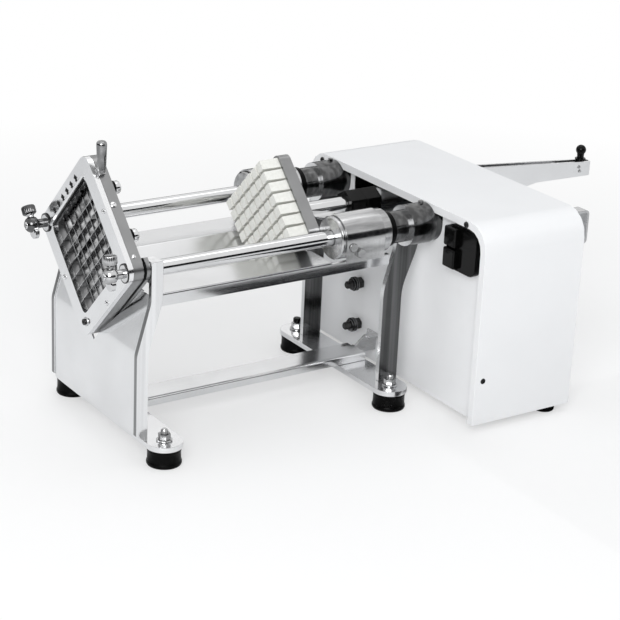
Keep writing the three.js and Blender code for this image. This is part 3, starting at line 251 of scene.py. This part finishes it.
SLOT_MATERIALS = {
    "mirror_steel": POLISHED,
    "brushed_steel": BRUSHED,
    "cover_steel": COVER,
    "black_rubber": RUBBER,
    "black_plastic": BLACK,
    "white_nylon": NYLON,
    "drive_metal": CAST,
}
NODE_MATERIALS = {
    "front_panel": BRIGHT,
    "front_leg_near": FRONT_LEG,
    "front_leg_far": FRONT_LEG,
    "blade_clamp_frame": BRIGHT,
    "front_foot_plate": BRIGHT,
    "rear_foot_plate": BRIGHT,
    "blade_grid": BLADES,
    "rear_leg_near": LEG,
    "rear_leg_far": LEG,
    "stretcher_bar": SMOOTH_SHEET,
    "feed_trough": SMOOTH_SHEET,
    "blade_cassette": CASSETTE,
    "mount_frame": CASSETTE,
    "pusher_plate": CASSETTE,
    # The cover tubes are painted dark: painted reflection of the dark inside the housing
    "cover_tube_near": DARK,
    "cover_tube_far": DARK,
    "guide_sleeve_near": TURNED,
    "guide_sleeve_far": TURNED,
    "saddle_near": TURNED,
    "saddle_far": TURNED,
    "housing_front_panel": SATIN,
    "pull_arm": BRIGHT,
    "drive_rack": BRUSHED,
}


# How far the edges of the solids are rounded, in metres: the plain width, and the nodes that are rounder
PLAIN_EDGE = 0.0004
EDGE_WIDTHS = {
    "rear_leg_near": 0.0016,
    "rear_leg_far": 0.0016,
    "housing_cover": 0.0009,
    "switch_box": 0.0012,
    "start_button": 0.0012,
    "return_button": 0.0012,
}

# Edges sharper than SHARP are rounded, faces that differ by less than FLAT are joined, and corners nearer
# than WELD_DISTANCE, in metres, are welded
SHARP = radians(33)
FLAT = radians(0.5)
WELD_DISTANCE = 0.00001


def dress(obj, material):
    obj.data.materials.clear()
    obj.data.materials.append(material)
    for polygon in obj.data.polygons:
        polygon.material_index = 0


# Smooth shading that leaves the sharp edges sharp
def smooth_by_angle():
    group = bpy.data.node_groups.new("smooth_by_angle", "GeometryNodeTree")
    group.interface.new_socket("Geometry", in_out="INPUT", socket_type="NodeSocketGeometry")
    group.interface.new_socket("Geometry", in_out="OUTPUT", socket_type="NodeSocketGeometry")
    start = group.nodes.new("NodeGroupInput")
    end = group.nodes.new("NodeGroupOutput")
    angle = group.nodes.new("GeometryNodeInputMeshEdgeAngle")
    small = group.nodes.new("FunctionNodeCompare")
    small.data_type = "FLOAT"
    small.operation = "LESS_THAN"
    small.inputs["B"].default_value = SHARP
    faces = group.nodes.new("GeometryNodeSetShadeSmooth")
    faces.domain = "FACE"
    edges = group.nodes.new("GeometryNodeSetShadeSmooth")
    edges.domain = "EDGE"
    group.links.new(start.outputs[0], faces.inputs["Geometry"])
    group.links.new(faces.outputs["Geometry"], edges.inputs["Geometry"])
    group.links.new(angle.outputs["Unsigned Angle"], small.inputs["A"])
    group.links.new(small.outputs["Result"], edges.inputs["Shade Smooth"])
    group.links.new(edges.outputs["Geometry"], end.inputs[0])
    return group


SMOOTH = smooth_by_angle()


def shade_smooth(obj):
    shade = obj.modifiers.new("shade", "NODES")
    shade.node_group = SMOOTH


# The weighted normals keep flat faces flat beside their rounded edges
def round_edges(obj, width):
    edge = obj.modifiers.new("edge", "BEVEL")
    edge.width = width
    edge.segments = 2
    edge.limit_method = "ANGLE"
    edge.angle_limit = SHARP
    shade_smooth(obj)
    flatter = obj.modifiers.new("flatter", "WEIGHTED_NORMAL")
    flatter.keep_sharp = True


def soften(obj, width):
    bpy.context.view_layer.objects.active = obj
    bpy.ops.mesh.customdata_custom_splitnormals_clear()
    weld = obj.modifiers.new("weld", "WELD")
    weld.merge_threshold = WELD_DISTANCE
    flat = obj.modifiers.new("flat_faces", "DECIMATE")
    flat.decimate_type = "DISSOLVE"
    flat.angle_limit = FLAT
    round_edges(obj, width)


def dress_frame():
    slots = {entry["node"]: entry["material_slot"] for entry in frame["record"]["subparts"]}
    for name, node in NODES.items():
        dress(node, NODE_MATERIALS.get(name, SLOT_MATERIALS[slots[name]]))
        soften(node, EDGE_WIDTHS.get(name, PLAIN_EDGE))


# Pieces: profiles run along an axis as [along, radius], in millimetres
AXES = {
    "x": Matrix(((0, 0, 1), (0, 1, 0), (-1, 0, 0))).to_4x4(),
    "y": Matrix(((1, 0, 0), (0, 0, 1), (0, -1, 0))).to_4x4(),
    "z": Matrix.Identity(4),
}

# Sides of a large and a small round shape, and of a nut
ROUND = 40
SMALL_ROUND = 24
HEXAGON = 6

THREAD_PITCH = 1.25
THREAD_DEPTH = 0.55
THREAD_LEAD = 0.6

# Shares of a socket head's radius and height
SOCKET_WIDTH = 0.5
SOCKET_DEPTH = 0.6


# A radius of 0 closes the shape with a single point
def ring_mesh(profile, segments, radius_at=None):
    mesh = bmesh.new()
    rings = []
    for along, radius in profile:
        if radius == 0:
            rings.append([mesh.verts.new((0, 0, along * MM))])
            continue
        ring = []
        for i in range(segments):
            angle = 2 * pi * i / segments
            reach = radius * (radius_at(i, along) if radius_at else 1)
            ring.append(mesh.verts.new((reach * cos(angle) * MM, reach * sin(angle) * MM, along * MM)))
        rings.append(ring)
    for first, second in zip(rings, rings[1:]):
        for i in range(segments):
            j = (i + 1) % segments
            corners = [
                first[i % len(first)],
                first[j % len(first)],
                second[j % len(second)],
                second[i % len(second)],
            ]
            unique = list(dict.fromkeys(corners))
            if len(unique) > 2:
                mesh.faces.new(unique)
    bmesh.ops.recalc_face_normals(mesh, faces=mesh.faces)
    return mesh


# An outline in x and y that reaches from one height to another, all in millimetres
def prism_mesh(outline, low, high):
    mesh = bmesh.new()
    bottom, top = ([mesh.verts.new((x * MM, y * MM, z * MM)) for x, y in outline] for z in (low, high))
    mesh.faces.new(bottom)
    mesh.faces.new(top)
    for i in range(len(outline)):
        j = (i + 1) % len(outline)
        mesh.faces.new((bottom[i], bottom[j], top[j], top[i]))
    bmesh.ops.recalc_face_normals(mesh, faces=mesh.faces)
    return mesh


def piece(name, mesh, matrix, material, body="stand", edge=0.0):
    data = bpy.data.meshes.new(name)
    mesh.transform(matrix)
    mesh.to_mesh(data)
    mesh.free()
    obj = bpy.data.objects.new(name, data)
    bpy.context.scene.collection.objects.link(obj)
    dress(obj, material)
    if edge:
        round_edges(obj, edge * MM)
    else:
        shade_smooth(obj)
    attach(obj, body)
    return obj


def turned(name, profile, axis, centre, material, body="stand", segments=ROUND, edge=0.0, spin=0.0):
    place = Matrix.Translation(at(*centre)) @ AXES[axis] @ Matrix.Rotation(spin, 4, "Z")
    return piece(name, ring_mesh(profile, segments), place, material, body, edge)


def thread(start, end, radius):
    root = radius - THREAD_DEPTH
    points = [(start, 0), (start, root - THREAD_LEAD), (start + THREAD_LEAD, root)]
    turns = int((end - start - 2 * THREAD_LEAD) / THREAD_PITCH)
    for turn in range(turns):
        low = start + THREAD_LEAD + turn * THREAD_PITCH
        points += [(low + THREAD_PITCH / 2, radius), (low + THREAD_PITCH, root)]
    points += [(end, root - THREAD_LEAD), (end, 0)]
    return points


# A washer, or with few segments a nut
def disc(low, high, radius, hole):
    return [(low, hole), (low, radius), (high, radius), (high, hole), (low, hole)]


def socket_head(radius, height):
    hole = radius * SOCKET_WIDTH
    floor = height * (1 - SOCKET_DEPTH)
    return [
        (floor, 0), (floor, hole), (height, hole), (height, radius * 0.86),
        (height * 0.82, radius), (0, radius), (0, 0),
    ]


# A domed head with a shallow dimple in its middle
def dome_head(radius, height):
    return [
        (height * 0.55, 0), (height * 0.6, radius * 0.35), (height, radius * 0.42),
        (height * 0.9, radius * 0.7), (height * 0.5, radius * 0.95), (0, radius), (0, 0),
    ]


def mirrored(profile):
    return [(-along, radius) for along, radius in profile]


# Feet: a lipped rubber pad on a threaded stud with a washer and a nut, and one stud with a cap
FEET = (("front", -1.1, 106), ("rear", 296, 97))
CAPPED_FOOT = (296, 97, 0)
FOOT_PAD = [
    (0, 0), (0, 17), (0.6, 18.3), (2, 19), (4, 19), (5, 18.5), (5.8, 18.1), (15.4, 18),
    (16, 18.2), (16.6, 18.4), (19.2, 18.4), (20, 17.8), (20, 3.6), (20, 0),
]
FOOT_STUD = thread(19, 39.7, 4)
FOOT_WASHER = [(26.6, 4.2), (26.6, 8.2), (26.9, 8.5), (27.9, 8.5), (28.2, 8.2), (28.2, 4.2), (26.6, 4.2)]
FOOT_NUT = disc(28.3, 34.7, 7, 4.1)
FOOT_NUT_SPIN = 0.3
FOOT_CAP = [(36.2, 3), (36.2, 4.8), (40, 4.8), (40.8, 4.2), (41, 3), (41, 0), (36.2, 0)]


def make_feet():
    for place, x, spread in FEET:
        for side, sign in SIDES:
            name = f"foot_{place}_{side}"
            centre = (x, sign * spread, 0)
            pad = turned(f"{name}_pad", FOOT_PAD, "z", centre, RUBBER)
            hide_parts(name)
            turned(f"{name}_stud", FOOT_STUD, "z", centre, TURNED, segments=SMALL_ROUND)
            turned(f"{name}_washer", FOOT_WASHER, "z", centre, BRUSHED)
            turned(f"{name}_nut", FOOT_NUT, "z", centre, TURNED,
                   segments=HEXAGON, edge=0.6, spin=FOOT_NUT_SPIN)
    turned("foot_cap", FOOT_CAP, "z", CAPPED_FOOT, BLACK, segments=SMALL_ROUND)


HOUSING_FOOT_X = 452
HOUSING_FOOT_YS = (("near", -185), ("far", 127))
HOUSING_FOOT = [(0, 0), (0, 11), (0.9, 12), (3, 12.4), (8.8, 11.4), (9.6, 10.8), (9.6, 3), (19, 3), (19, 0)]


def make_housing_feet():
    for side, y in HOUSING_FOOT_YS:
        centre = (HOUSING_FOOT_X, y, 0)
        foot = turned(f"housing_foot_{side}_pad", HOUSING_FOOT, "z", centre, RUBBER)
        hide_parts(f"housing_foot_{side}")


# Wing nuts: a round hub with a knurled knob on a neck and a small lobe opposite, leaning as they were left
NUT_X = -57.2
NUT_LEANS = {"near": pi / 25, "far": pi / 5}
# The far nut's hub and knob are dark steel as painted shade, where the near one's are turned steel
NUT_SHADE_METALS = {"near": TURNED, "far": DARK}
NUT_HUB = [
    (-7.6, 4.2), (-7.6, 5.4), (-6.4, 7), (-4.2, 8.3), (-1.6, 8.9), (1.4, 8.8), (3.8, 7.8), (5.4, 6),
    (6.4, 5), (13, 4.8), (15.8, 4.8), (15.8, 4.2), (-7.6, 4.2),
]
NUT_RING = [(14.3, 5), (14.3, 8.6), (14.6, 9), (15.8, 9), (15.8, 5), (14.3, 5)]
NUT_RIM = [(14.7, 8.8), (14.7, 10.2), (15.8, 10.4), (15.8, 8.8), (14.7, 8.8)]
NUT_NECK = [(4, 0), (4, 3.4), (9, 3.6), (11, 4.4), (12, 5.4), (12, 0)]
NECK_SEGMENTS = 32
NUT_KNOB = [
    (11.2, 0), (11.2, 5.2), (12, 7), (13, 7.7), (19.4, 7.7), (20.8, 7), (21.2, 5.6), (20.8, 4.6), (20.8, 0),
]
KNOB_SEGMENTS = 56
KNURL_FROM, KNURL_TO = 12.5, 20
KNURL_ROOT = 0.93
NUT_LOBE = [(-3.2, 0), (-3.2, 5.6), (-2.2, 7), (2.2, 7), (3.2, 5.6), (3.2, 0)]
LOBE_DROP = 9
ROD_STUD = thread(-66.2, -50, 4)


def knurl(index, along):
    return KNURL_ROOT if KNURL_FROM < along < KNURL_TO and index % 2 == 0 else 1


def make_wing_nuts():
    for side, sign in SIDES:
        body = f"nut_{side}"
        metal = NUT_SHADE_METALS[side]
        middle = Matrix.Translation(at(NUT_X, sign * ROD_SPREAD, AXIS_Z))
        upright = middle @ Matrix.Rotation(-NUT_LEANS[side], 4, "X")
        along_rod = upright @ AXES["x"]
        lobe_place = upright @ Matrix.Translation((0, 0, -LOBE_DROP * MM)) @ AXES["x"]
        hub = piece(f"wing_nut_{side}_hub", ring_mesh(NUT_HUB, ROUND), along_rod, metal, body)
        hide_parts(f"wing_nut_{side}")
        for name, mesh, place, material in (
            ("ring", ring_mesh(NUT_RING, ROUND), along_rod, POLISHED),
            ("rim", ring_mesh(NUT_RIM, ROUND), along_rod, BLACKENED),
            ("neck", ring_mesh(NUT_NECK, NECK_SEGMENTS), upright, TURNED),
            ("knob", ring_mesh(NUT_KNOB, KNOB_SEGMENTS, knurl), upright, metal),
            ("lobe", ring_mesh(NUT_LOBE, ROUND), lobe_place, POLISHED),
        ):
            piece(f"wing_nut_{side}_{name}", mesh, place, material, body)
        turned(f"rod_stud_{side}", ROD_STUD, "x", (0, sign * ROD_SPREAD, AXIS_Z), BRUSHED,
               segments=SMALL_ROUND)


# The blade square stands on its corner. Places on it are along and across its upper near side
EIGHTH_TURN = Matrix.Rotation(pi / 4, 4, "X")
SQUARE_PLACE = Matrix.Translation(at(0, 0, AXIS_Z)) @ EIGHTH_TURN


def turned_square(along, across):
    return (along - across) * sqrt(0.5), AXIS_Z + (along + across) * sqrt(0.5)


# Handle: a square clip on the upper near side, and a pin that stands upright on it
HANDLE_X = -32
HANDLE_ALONG = 48
CLIP_BASE, PIN_BASE = 73.8, 77.8
CLIP_NARROW = 0.7
HANDLE_CLIP = [(0, 0), (0, 7.07), (4, 7.07), (4, 0)]
HANDLE_PIN = [
    (-2, 0), (-2, 4.2), (0.6, 4.2), (1.4, 4.7), (27, 5.6), (29, 5.2), (30.4, 3.9), (31, 1.8), (31, 0),
]


def make_frame_handle():
    clip_place = Matrix.Translation(at(HANDLE_X, *turned_square(HANDLE_ALONG, CLIP_BASE))) @ EIGHTH_TURN
    clip_place = clip_place @ Matrix.Diagonal((CLIP_NARROW, 1, 1, 1)) @ Matrix.Rotation(pi / 4, 4, "Z")
    clip = piece("frame_handle_clip", ring_mesh(HANDLE_CLIP, 4), clip_place, BRUSHED, edge=0.8)
    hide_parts("frame_handle")
    pin_place = (HANDLE_X, *turned_square(HANDLE_ALONG, PIN_BASE))
    turned("frame_handle_pin", HANDLE_PIN, "z", pin_place, HANDLE)


# A rubber bead on the seal between the square's frames, round its two lower sides
BEAD_X = -21.6
BEAD_RADIUS = 1.9
BEAD_SUNK = 0.8
BEAD_CORNERS = (1, 2, 3)
BEAD_STEPS = 7
BEAD_SIDES = 10


def make_seal_bead():
    inner = SQUARE_HALF - SQUARE_CORNER
    mesh = bmesh.new()
    rings = []
    for corner in BEAD_CORNERS:
        middle = Matrix.Rotation(corner * pi / 2, 2) @ Vector((inner, inner))
        for step in range(BEAD_STEPS):
            angle = (corner + step / (BEAD_STEPS - 1)) * pi / 2
            out = Vector((cos(angle), sin(angle)))
            ring = []
            for side in range(BEAD_SIDES):
                turn = 2 * pi * side / BEAD_SIDES
                spot = middle + out * (SQUARE_CORNER - BEAD_SUNK + BEAD_RADIUS * cos(turn))
                x = BEAD_X + BEAD_RADIUS * sin(turn)
                ring.append(mesh.verts.new((x * MM, spot.x * MM, spot.y * MM)))
            rings.append(ring)
    for end in (rings[0], rings[-1]):
        mesh.faces.new(end)
    for first, second in zip(rings, rings[1:]):
        for side in range(BEAD_SIDES):
            after = (side + 1) % BEAD_SIDES
            mesh.faces.new((first[side], first[after], second[after], second[side]))
    bmesh.ops.recalc_face_normals(mesh, faces=mesh.faces)
    piece("frame_seal_bead", mesh, SQUARE_PLACE, RUBBER)


# Bolts through the square's upper near side, given along it, with rubber washers behind the clamp frame
FRAME_BOLTS = (("upper", 31.8), ("lower", -24.7))
BOLT_ACROSS = 65.8
BOLT_WASHER = disc(-22.6, -20.4, 7.6, 3)
BOLT_HEAD = [
    (-30.9, 0), (-30.9, 2.9), (-20.3, 2.9), (-20.3, 6.4), (-19.6, 7), (-15.6, 7), (-14.6, 6.6),
    (-13.5, 5.2), (-13.5, 2.6), (-16.5, 2.4), (-16.5, 0),
]

# Screws on the clamp frame's front: name, y, z and radius, then the one at the lowest corner
FACE_SCREWS = (("far_low", 45.5, 165.6, 3.0), ("near_low", -51, 168.6, 3.0), ("near_high", -43.2, 266, 2.8))
FACE_SCREW_HEIGHT = 1.6
CORNER_SCREW_YZ = (-4, 131.5)
CORNER_SCREW_X = -41.8
CORNER_WASHER = [(0, 2.6), (0, 5.0), (-0.7, 5.0), (-0.9, 4.6), (-0.9, 2.6), (0, 2.6)]
CORNER_SCREW = mirrored(socket_head(3.4, 2.6))

# Screws in the edge of the upper near side: name, along, x and radius
SIDE_SCREWS = (("upper", 9.1, -31.2, 3.4), ("lower", -51.4, -30.2, 2.4))
SIDE_SCREW_HEIGHT = 1.5


def make_square_fasteners():
    for name, along in FRAME_BOLTS:
        centre = (0, *turned_square(along, BOLT_ACROSS))
        turned(f"frame_bolt_{name}_washer", BOLT_WASHER, "x", centre, RUBBER, edge=0.3)
        bolt = turned(f"frame_bolt_{name}_head", BOLT_HEAD, "x", centre, POLISHED)
        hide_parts(f"frame_bolt_{name}")
    for name, y, z, radius in FACE_SCREWS:
        head = mirrored(dome_head(radius, FACE_SCREW_HEIGHT))
        turned(f"face_screw_{name}", head, "x", (CLAMP_FRONT, y, z), POLISHED,
               segments=SMALL_ROUND)
    turned("face_screw_washer", CORNER_WASHER, "x", (CLAMP_FRONT, *CORNER_SCREW_YZ), BRUSHED)
    turned("face_screw_socket", CORNER_SCREW, "x", (CORNER_SCREW_X, *CORNER_SCREW_YZ), BLACKENED,
           segments=SMALL_ROUND)
    for name, along, x, radius in SIDE_SCREWS:
        place = Matrix.Translation(at(x, *turned_square(along, SQUARE_HALF))) @ EIGHTH_TURN
        head = ring_mesh(dome_head(radius, SIDE_SCREW_HEIGHT), SMALL_ROUND)
        piece(f"side_screw_{name}", head, place, POLISHED)


# A black rubber strip beside the clamp frame's rim, which paints the shadow in the gap between rim and
# grid, and the blade ends that stand in its slits
STRIP_SPOT = (-40.6, 53, 0)
STRIP_SEGMENTS = 12
RIM_SHADOW_STRIP = [(-51, 0), (-51, 0.9), (-50.4, 1.2), (50.4, 1.2), (51, 0.9), (51, 0)]
BLADE_COUNT = 6
BLADE_PITCH = 14
BLADE_THICK = 0.7
BLADE_END_ROOT = -39.5
BLADE_END_RISES = [(59.2, 0.5), (60.2, 1.7), (62, 0.9), (64, 2.1), (66, 1), (67.2, 0.3)]
BLADE_END = [(CLAMP_FRONT - rise, along) for along, rise in BLADE_END_RISES]
BLADE_END += [(BLADE_END_ROOT, along) for along, rise in reversed(BLADE_END_RISES)]


def make_blade_ends():
    strip_place = SQUARE_PLACE @ Matrix.Translation(Vector(STRIP_SPOT) * MM)
    # The strip is painted shadow for the gap beside the rim
    piece("rim_shadow_seal", ring_mesh(RIM_SHADOW_STRIP, STRIP_SEGMENTS), strip_place, RUBBER)
    for i in range(BLADE_COUNT):
        low = (i - (BLADE_COUNT - 1) / 2) * BLADE_PITCH - BLADE_THICK / 2
        end = prism_mesh(BLADE_END, low, low + BLADE_THICK)
        piece(f"blade_end_{i}", end, SQUARE_PLACE, BLACKENED)


# Housing: the panel bolts with stacked washers and nuts on both sides of the panel
PANEL_BOLTS = (("upper", 99), ("lower", 47))
PANEL_BOLT_Y = 35
PANEL_BOLT_HOLE = 4.8
PANEL_STUD = thread(322, 349, 4.6)
PANEL_WASHERS = ((329.6, 331.4, 7.2), (331.9, 333.9, 8.5), (334.4, 336.4, 8.5))
PANEL_NUT = disc(337, 343.7, 7.4, PANEL_BOLT_HOLE)
PANEL_BACK_NUT = disc(346.3, 349, 7.6, PANEL_BOLT_HOLE)

# The cover's black screws: name, axis, centre, radius and height
COVER_SCREWS = (
    ("cover_screw_side", "y", (346.7, -199.4, 60.3), 3.4, 1.8),
    ("lip_screw_near", "x", (336, -164, 232.8), 3.6, 2.2),
    ("lip_screw_far", "x", (336, 117, 229.5), 3.6, 2.2),
)

# The rivets at the pull arm's bend, which slide with it
ARM_RIVETS = ((670, 200.7), (671.5, 195.2))
ARM_SIDE_Y = 33
ARM_RIVET = mirrored(dome_head(2.4, 1.2))


def make_housing_details():
    for name, z in PANEL_BOLTS:
        bolt = f"panel_bolt_{name}"
        centre = (0, PANEL_BOLT_Y, z)
        stud = turned(f"{bolt}_stud", PANEL_STUD, "x", centre, BLACKENED, segments=SMALL_ROUND)
        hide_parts(bolt)
        for index, (low, high, radius) in enumerate(PANEL_WASHERS):
            washer = disc(low, high, radius, PANEL_BOLT_HOLE)
            turned(f"{bolt}_washer_{index}", washer, "x", centre, DARK, edge=0.3)
        turned(f"{bolt}_nut", PANEL_NUT, "x", centre, BLACKENED, segments=HEXAGON, edge=0.5)
        turned(f"{bolt}_back_nut", PANEL_BACK_NUT, "x", centre, BRUSHED,
               segments=HEXAGON, edge=0.4)
    for name, axis, centre, radius, height in COVER_SCREWS:
        head = mirrored(dome_head(radius, height))
        turned(name, head, axis, centre, BLACKENED, segments=SMALL_ROUND)
    for index, (x, z) in enumerate(ARM_RIVETS):
        turned(f"arm_rivet_{index}", ARM_RIVET, "y", (x, ARM_SIDE_Y, z), TURNED, "ram",
               segments=SMALL_ROUND)


# Floor: what the camera sees of it glows more with distance, so that it is pure white away from the part
FLOOR_HALF = 6
FLOOR_WHITE = (0.95, 0.95, 0.95, 1)
FLOOR_ROUGHNESS = 0.6
GLOW_FROM, GLOW_TO = 0.35, 1.2
GLOW_LEAST, GLOW_MOST = 0.45, 1.0
WHITE = (1, 1, 1, 1)


def make_floor():
    mesh = bpy.data.meshes.new("floor")
    corners = [(x * FLOOR_HALF, y * FLOOR_HALF, 0) for x, y in ((-1, -1), (1, -1), (1, 1), (-1, 1))]
    mesh.from_pydata(corners, [], [(0, 1, 2, 3)])
    floor = bpy.data.objects.new("floor", mesh)
    bpy.context.scene.collection.objects.link(floor)
    material, tree, shader = new_material("floor_white")
    shader.inputs["Base Color"].default_value = FLOOR_WHITE
    shader.inputs["Roughness"].default_value = FLOOR_ROUGHNESS
    glow = add(tree, "ShaderNodeEmission")
    glow.inputs["Color"].default_value = WHITE
    lift = add(tree, "ShaderNodeMixShader")
    path = add(tree, "ShaderNodeLightPath")
    place = add(tree, "ShaderNodeTexCoord")
    reach = add(tree, "ShaderNodeVectorMath", operation="LENGTH")
    tree.links.new(place.outputs["Object"], reach.inputs[0])
    far = add(tree, "ShaderNodeMapRange")
    far.inputs["From Min"].default_value = GLOW_FROM
    far.inputs["From Max"].default_value = GLOW_TO
    far.inputs["To Min"].default_value = GLOW_LEAST
    far.inputs["To Max"].default_value = GLOW_MOST
    tree.links.new(reach.outputs["Value"], far.inputs["Value"])
    share = add(tree, "ShaderNodeMath", operation="MULTIPLY")
    tree.links.new(path.outputs["Is Camera Ray"], share.inputs[0])
    tree.links.new(far.outputs["Result"], share.inputs[1])
    tree.links.new(share.outputs[0], lift.inputs[0])
    tree.links.new(shader.outputs[0], lift.inputs[1])
    tree.links.new(glow.outputs[0], lift.inputs[2])
    tree.links.new(lift.outputs[0], tree.nodes["Material Output"].inputs["Surface"])
    mesh.materials.append(material)


# World: pure white to the camera, to reflections and through glass, and a softer white as light
SOFT_WHITE = (0.96, 0.98, 1, 1)
SOFT_STRENGTH = 0.55


def make_world():
    world = bpy.data.worlds.new("studio")
    bpy.context.scene.world = world
    world.use_nodes = True
    tree = world.node_tree
    tree.nodes.clear()
    output = add(tree, "ShaderNodeOutputWorld")
    path = add(tree, "ShaderNodeLightPath")
    seen = add(tree, "ShaderNodeMath", operation="MAXIMUM")
    through = add(tree, "ShaderNodeMath", operation="MAXIMUM")
    tree.links.new(path.outputs["Is Camera Ray"], seen.inputs[0])
    tree.links.new(path.outputs["Is Glossy Ray"], seen.inputs[1])
    tree.links.new(seen.outputs[0], through.inputs[0])
    tree.links.new(path.outputs["Is Transmission Ray"], through.inputs[1])
    white = add(tree, "ShaderNodeBackground")
    white.inputs["Color"].default_value = WHITE
    soft = add(tree, "ShaderNodeBackground")
    soft.inputs["Color"].default_value = SOFT_WHITE
    soft.inputs["Strength"].default_value = SOFT_STRENGTH
    mix = add(tree, "ShaderNodeMixShader")
    tree.links.new(through.outputs[0], mix.inputs[0])
    tree.links.new(soft.outputs[0], mix.inputs[1])
    tree.links.new(white.outputs[0], mix.inputs[2])
    tree.links.new(mix.outputs[0], output.inputs["Surface"])


def area_light(name, place, aim, size, power):
    data = bpy.data.lights.new(name, "AREA")
    data.shape = "RECTANGLE"
    data.size, data.size_y = size
    data.energy = power
    lamp = bpy.data.objects.new(name, data)
    lamp.location = place
    lamp.rotation_euler = (Vector(aim) - Vector(place)).to_track_quat("-Z", "Y").to_euler()
    bpy.context.scene.collection.objects.link(lamp)


# Dark cards are only seen in reflections, as dark bands on the polished steel
CARD_COLOUR = (0.02, 0.02, 0.022, 1)


def dark_card(name, corners):
    mesh = bpy.data.meshes.new(name)
    mesh.from_pydata(corners, [], [(0, 1, 2, 3)])
    card = bpy.data.objects.new(name, mesh)
    bpy.context.scene.collection.objects.link(card)
    material, tree, shader = new_material(name)
    shader.inputs["Base Color"].default_value = CARD_COLOUR
    shader.inputs["Specular IOR Level"].default_value = 0
    mesh.materials.append(material)
    card.visible_camera = False
    card.visible_diffuse = False
    card.visible_shadow = False


# Lamps aim at the part's middle. Places and sizes are in metres, powers in watts
AIM = (0, 0, 0.1)
LAMPS = (
    ("key", (-1.6, -1.8, 1.5), (1.4, 1.4), 44),
    ("top", (0.2, 0.3, 2.6), (2.0, 1.6), 12),
)

# Cards across Y: name, y, half width, bottom and top
WALL_CARDS = (("card_front", -2.4, 2.5, 0.02, 1.3), ("card_back", 2.4, 2.5, 0.1, 0.8))
LEFT_CARD = [(-2.6, -2, 0.1), (-2.6, 2, 0.1), (-2.6, 2, 1.2), (-2.6, -2, 1.2)]

# The low card lies on the floor at the housing's near side
LOW_CARD = [(-0.02, -0.5, 0.002), (0.34, -0.5, 0.002), (0.34, -0.12, 0.002), (-0.02, -0.12, 0.002)]


def make_studio():
    make_floor()
    make_world()
    for name, place, size, power in LAMPS:
        area_light(name, place, AIM, size, power)
    for name, y, half, low, high in WALL_CARDS:
        dark_card(name, [(-half, y, low), (half, y, low), (half, y, high), (-half, y, high)])
    dark_card("card_left", LEFT_CARD)
    dark_card("card_low", LOW_CARD)


make_camera()
make_studio()
dress_frame()
make_feet()
make_housing_feet()
make_wing_nuts()
make_frame_handle()
make_seal_bead()
make_square_fasteners()
make_blade_ends()
make_housing_details()
bpy.context.scene.view_settings.view_transform = "Standard"
